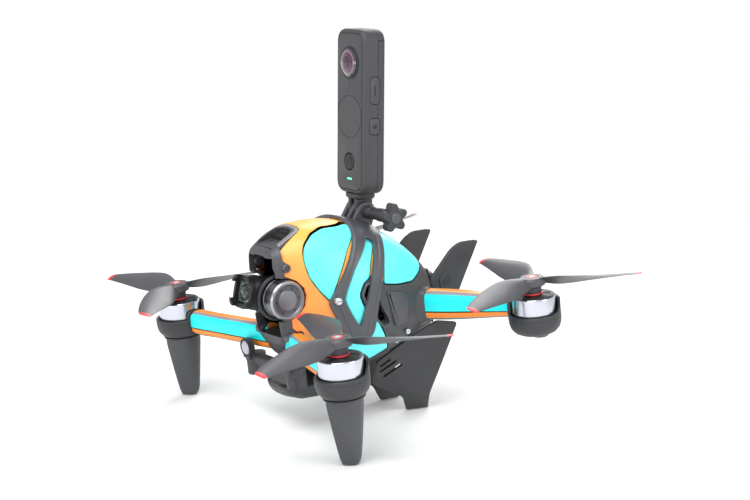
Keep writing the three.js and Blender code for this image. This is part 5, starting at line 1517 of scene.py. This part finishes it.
case = temp(*loft([case_ring(inset, y) for inset, y in rims(-HALF_D, HALF_D, 2.6, 6)]))
cut(case, prism_y(FACE, -HALF_D - 5, -HALF_D + 0.9),
    prism_y(circle(9.9, 0, LENS_Z, 72), -HALF_D - 5, -HALF_D + 3.4),
    prism_y(circle(9.9, 0, LENS_Z, 72), HALF_D - 3.4, HALF_D + 5),
    prism_y(circle(5.4, 0, SHUTTER_Z, 48), -HALF_D - 5, -HALF_D + 3))
cut(case, prism_x(grow(POWER_KEY, 0.35), HALF_W - 2.2, 30),
    prism_x(grow(QUICK_KEY, 0.35), HALF_W - 2.2, 30))
# seam round the case, and two small holes near the top of the left side
seam = cut(temp(*loft([case_ring(-3, 2.2), case_ring(-3, 2.55)])),
           temp(*loft([case_ring(0.3, 1.0), case_ring(0.3, 4.0)])))
cut(case, seam, *(prism_x(circle(0.55, y, CASE_TOP - 7, 20), HALF_W - 1.5, CASE_WIDTH)
                  for y in (3.6, 5.2)))
mount(case, "camera_case", [CASE], ["action_camera_body"], "action_camera",
      sharp=34, place=to_fork)

face = temp(*plate(densify(grow(FACE, -0.35), 2.5), -HALF_D - 0.25, -HALF_D + 0.85, y_wise,
                   soft=0.25))
ring_groove = cut(prism_y(circle(13.6, 0, DIAL_Z, 96), -HALF_D - 5, -HALF_D + 0.05),
                  prism_y(circle(13.1, 0, DIAL_Z, 96), -HALF_D - 6, HALF_D))
cut(face, prism_y(circle(10.3, 0, LENS_Z, 72), -HALF_D - 5, HALF_D),
    prism_y(circle(5.8, 0, SHUTTER_Z, 56), -HALF_D - 5, HALF_D),
    prism_y(circle(0.55, 0, CASE_BASE + 69, 16), -HALF_D - 5, -HALF_D + 0.5), ring_groove,
    prism_y(fillet(rect(2.9, LIGHT_Z - 0.75, LIGHT_Z + 0.75), 0.7, 4), -HALF_D - 5,
            -HALF_D + 0.4))
mount(face, "camera_face", [CASE_FACE], ["action_camera_face"], "action_camera",
      sharp=34, place=to_fork)

LENS_RING = soften([(8, -2.9), (10.2, -2.9), (10.3, 0.35), (10.1, 0.9), (9.5, 1.1), (8.7, 0.9),
                    (8, 0.2), (8, -2.9)], 0.2)
DOME_R = 8.7
DOME = [(0, -2.5), (DOME_R, -2.5)]
DOME += [(float(radius), 0.5 + 4.0 * (1 - (radius / 9.6) ** 2) ** 0.75 - 0.35)
         for radius in np.linspace(0, DOME_R, 18)[::-1]]

for name, y, turn in (("front", -HALF_D, TO_NOSE), ("rear", HALF_D, rot("x", -90))):
    centre = vec(0, y, LENS_Z)
    lens = Build().add(*lathe(LENS_RING, 88, turn, centre))
    lens.add(*lathe(DOME, 88, turn, centre), 1)
    # the magenta rings are painted coating reflections and the pale ring near the rim is a painted
    # highlight; the dark rings stand for the lens's own elements
    glass = ringed_glass(
        name + "_fisheye_painted_reflection", to_fork(centre)[0], (0, 1, 0), radius=DOME_R, rough=0.04,
        stops=[(0.0, (6, 5, 10)), (0.14, (20, 10, 30)), (0.3, (60, 18, 62)), (0.45, (16, 10, 24)),
               (0.58, (96, 34, 78)), (0.7, (28, 18, 36)), (0.85, (120, 92, 110)),
               (0.93, (24, 22, 26)), (1.0, (70, 70, 76))])
    lens.piece("dome_" + name, [BLACK, glass], [name + "_lens"], "lens_glass", "action_camera",
               place=to_fork, sharp=40)

key_at = vec(0, -HALF_D + 0.1, SHUTTER_Z)
key = soften([(0, -1.9), (5.1, -1.9), (5.1, 0.1), (4.8, 0.35), (0, 0.4)], 0.15)
key_ring = [(2.1, 0.35), (2.6, 0.35), (2.6, 0.5), (2.1, 0.5), (2.1, 0.35)]
Build().add(*lathe(key, 64, TO_NOSE, key_at)).add(*lathe(key_ring, 48, TO_NOSE, key_at), 1).piece(
    "front_key", [BLACK, GROOVE], ["shutter_button"], "black_plastic", "shutter", place=to_fork)

POWER_MARK = fillet(rect(0.5, CASE_BASE + 66 - 3.2, CASE_BASE + 66 + 3.2), 0.5, 4)
QUICK_MARK = circle(1.5, 0, CASE_BASE + 43.5, 32)
for name, outline, mark in (("power", POWER_KEY, POWER_MARK), ("quick", QUICK_KEY, QUICK_MARK)):
    cap = Build().add(*plate(outline, HALF_W - 1.3, HALF_W + 0.25, x_wise, soft=0.35))
    cap.add(*plate(mark, HALF_W + 0.15, HALF_W + 0.32, x_wise, soft=0.05), 1)
    cap.piece(name + "_key_cap", [CASE_FACE, GROOVE], [name + "_button"], "camera_case",
              name + "_key", place=to_fork)

light = Material("status_light")
light.set(base=srgb(90, 235, 165), emit=srgb(90, 240, 170), emit_strength=1.6,
          rough=light.remap(light.noise(scale=900, detail=1), source=(0.3, 0.7),
                            target=(0.25, 0.35)))
bar = fillet(rect(2.6, LIGHT_Z - 0.55, LIGHT_Z + 0.55), 0.5, 4)
Build().add(*plate(bar, -HALF_D - 0.15, -HALF_D + 0.6, y_wise, soft=0.1)).piece(
    "status_bar", [light.data], body="action_camera", place=to_fork)


# ---------------------------------------------------------------- kept pieces and lamps
def refinish(node, mat):
    node.data.materials.clear()
    node.data.materials.append(mat)


for name, mat, width in (("battery", DARK, 0.6), ("circuit_stack", BOARD, 0.2),
                         ("belly_tray", DARK, 0.5), ("lamp_beam", DARK, 0.35)):
    node = NODES[name]
    refinish(node, mat)
    node.data.shade_smooth()
    node.data.set_sharp_from_angle(angle=math.radians(34))
    add_bevel(node, "soft", width, 34)
for name, *_ in CORNERS:
    refinish(NODES["motor_stator_" + name], COPPER)

LAMP_GLASS = [(0, 0.6), (4.6, 0.6), (4.6, 1.5), (3.9, 2.3), (2.6, 2.9), (0, 3.2)]
LAMP_RING = soften([(4.6, 0.6), (6, 0.6), (6.3, 1.2), (6, 2), (5.2, 2.2), (4.7, 1.8),
                    (4.6, 0.6)], 0.15)
for side_name, side in SIDES:
    at = vec(side * 24.0, -65, -29.5)
    lamp = Build().add(*lathe(LAMP_GLASS, 56, TO_NOSE, at))
    lamp.add(*lathe(LAMP_RING, 64, TO_NOSE, at), 1)
    lamp.piece("lamp_glass_" + side_name, [LAMP, BLACK], ["lamp_lens_" + side_name], "lamp_glass")


# ---------------------------------------------------------------- floor, world, lights, camera
def floor_material():
    """near white, fading into plain white emission away from the drone"""
    mat = Material("floor_white")
    mat.set(base=mat.two_tone(mat.noise(scale=3, detail=2), (0.90,) * 3, (0.93,) * 3),
            rough=0.6, spec=0.1)
    position = mat.node("ShaderNodeNewGeometry").outputs["Position"]
    distance = mat.vector_math("LENGTH", position)["Value"]
    fade = mat.remap(distance, source=(0.45, 0.95), target=(0.0, 1.0))
    white = mat.node("ShaderNodeEmission", {"Color": (1, 1, 1, 1), "Strength": 1.0})
    mixed = mat.node("ShaderNodeMixShader",
                     {0: fade, 1: mat.shader.outputs[0], 2: white.outputs[0]})
    mat.feed(mat.tree.nodes["Material Output"].inputs["Surface"], mixed.outputs[0])
    return mat.data


FLOOR_HALF, FLOOR_Z = 6, -0.0006
floor_mesh = bpy.data.meshes.new("floor")
floor_mesh.from_pydata([(x * FLOOR_HALF, y * FLOOR_HALF, FLOOR_Z)
                        for x, y in ((-1, -1), (1, -1), (1, 1), (-1, 1))], [], [[0, 1, 2, 3]])
floor_mesh.materials.append(floor_material())
floor = bpy.data.objects.new("floor", floor_mesh)
scene.collection.objects.link(floor)


def make_world(light_strength, seen_strength):
    """white surroundings that light the scene less than they look to the camera"""
    world = bpy.data.worlds.new("studio")
    world.use_nodes = True
    tree = world.node_tree
    lighting, seen = tree.nodes["Background"], tree.nodes.new("ShaderNodeBackground")
    for node, strength in ((lighting, light_strength), (seen, seen_strength)):
        node.inputs["Color"].default_value = (1, 1, 1, 1)
        node.inputs["Strength"].default_value = strength
    path = tree.nodes.new("ShaderNodeLightPath")
    mixed = tree.nodes.new("ShaderNodeMixShader")
    tree.links.new(path.outputs["Is Camera Ray"], mixed.inputs[0])
    tree.links.new(lighting.outputs[0], mixed.inputs[1])
    tree.links.new(seen.outputs[0], mixed.inputs[2])
    tree.links.new(mixed.outputs[0], tree.nodes["World Output"].inputs["Surface"])
    scene.world = world


make_world(light_strength=0.68, seen_strength=1.0)
scene.view_settings.view_transform = "Standard"

# name, place, height of the point aimed at, size, watts
LIGHTS = [
    ("key", (0.4, -0.7, 1.25), 0.1, (0.9, 0.9), 16.5),
    ("rim_back", (-0.8, 0.9, 0.9), 0.1, (0.8, 0.8), 10),
    ("side", (1.3, 0.5, 0.5), 0.1, (0.5, 1.0), 6),
    ("front_low", (0.6, -1.4, 0.2), 0.08, (1.2, 0.4), 4),
]
for name, place, aim_z, size, watts in LIGHTS:
    lamp_data = bpy.data.lights.new(name, "AREA")
    lamp_data.shape = "RECTANGLE"
    lamp_data.size, lamp_data.size_y = size
    lamp_data.energy = watts
    lamp = bpy.data.objects.new(name, lamp_data)
    scene.collection.objects.link(lamp)
    lamp.location = place
    aim = Vector((0, 0, aim_z)) - Vector(place)
    lamp.rotation_euler = aim.to_track_quat("-Z", "Y").to_euler()

# the camera's right, up and backward directions
CAMERA_AXES = ((0.55907, 0.82909, 0.00673), (-0.14358, 0.08882, 0.98564),
               (0.81659, -0.55201, 0.16871))
camera_data = bpy.data.cameras.new("view_camera")
camera = bpy.data.objects.new("view_camera", camera_data)
scene.collection.objects.link(camera)
camera_data.lens = 86.83
camera_data.sensor_width = 36.0
camera_data.clip_start = 0.01
pose = Matrix(CAMERA_AXES).transposed().to_4x4()
pose.translation = Vector((0.95492 + ORIGIN_X / 1000.0, -0.6246626 + ORIGIN_Y / 1000.0, 0.3021))
camera.matrix_world = pose
scene.camera = camera
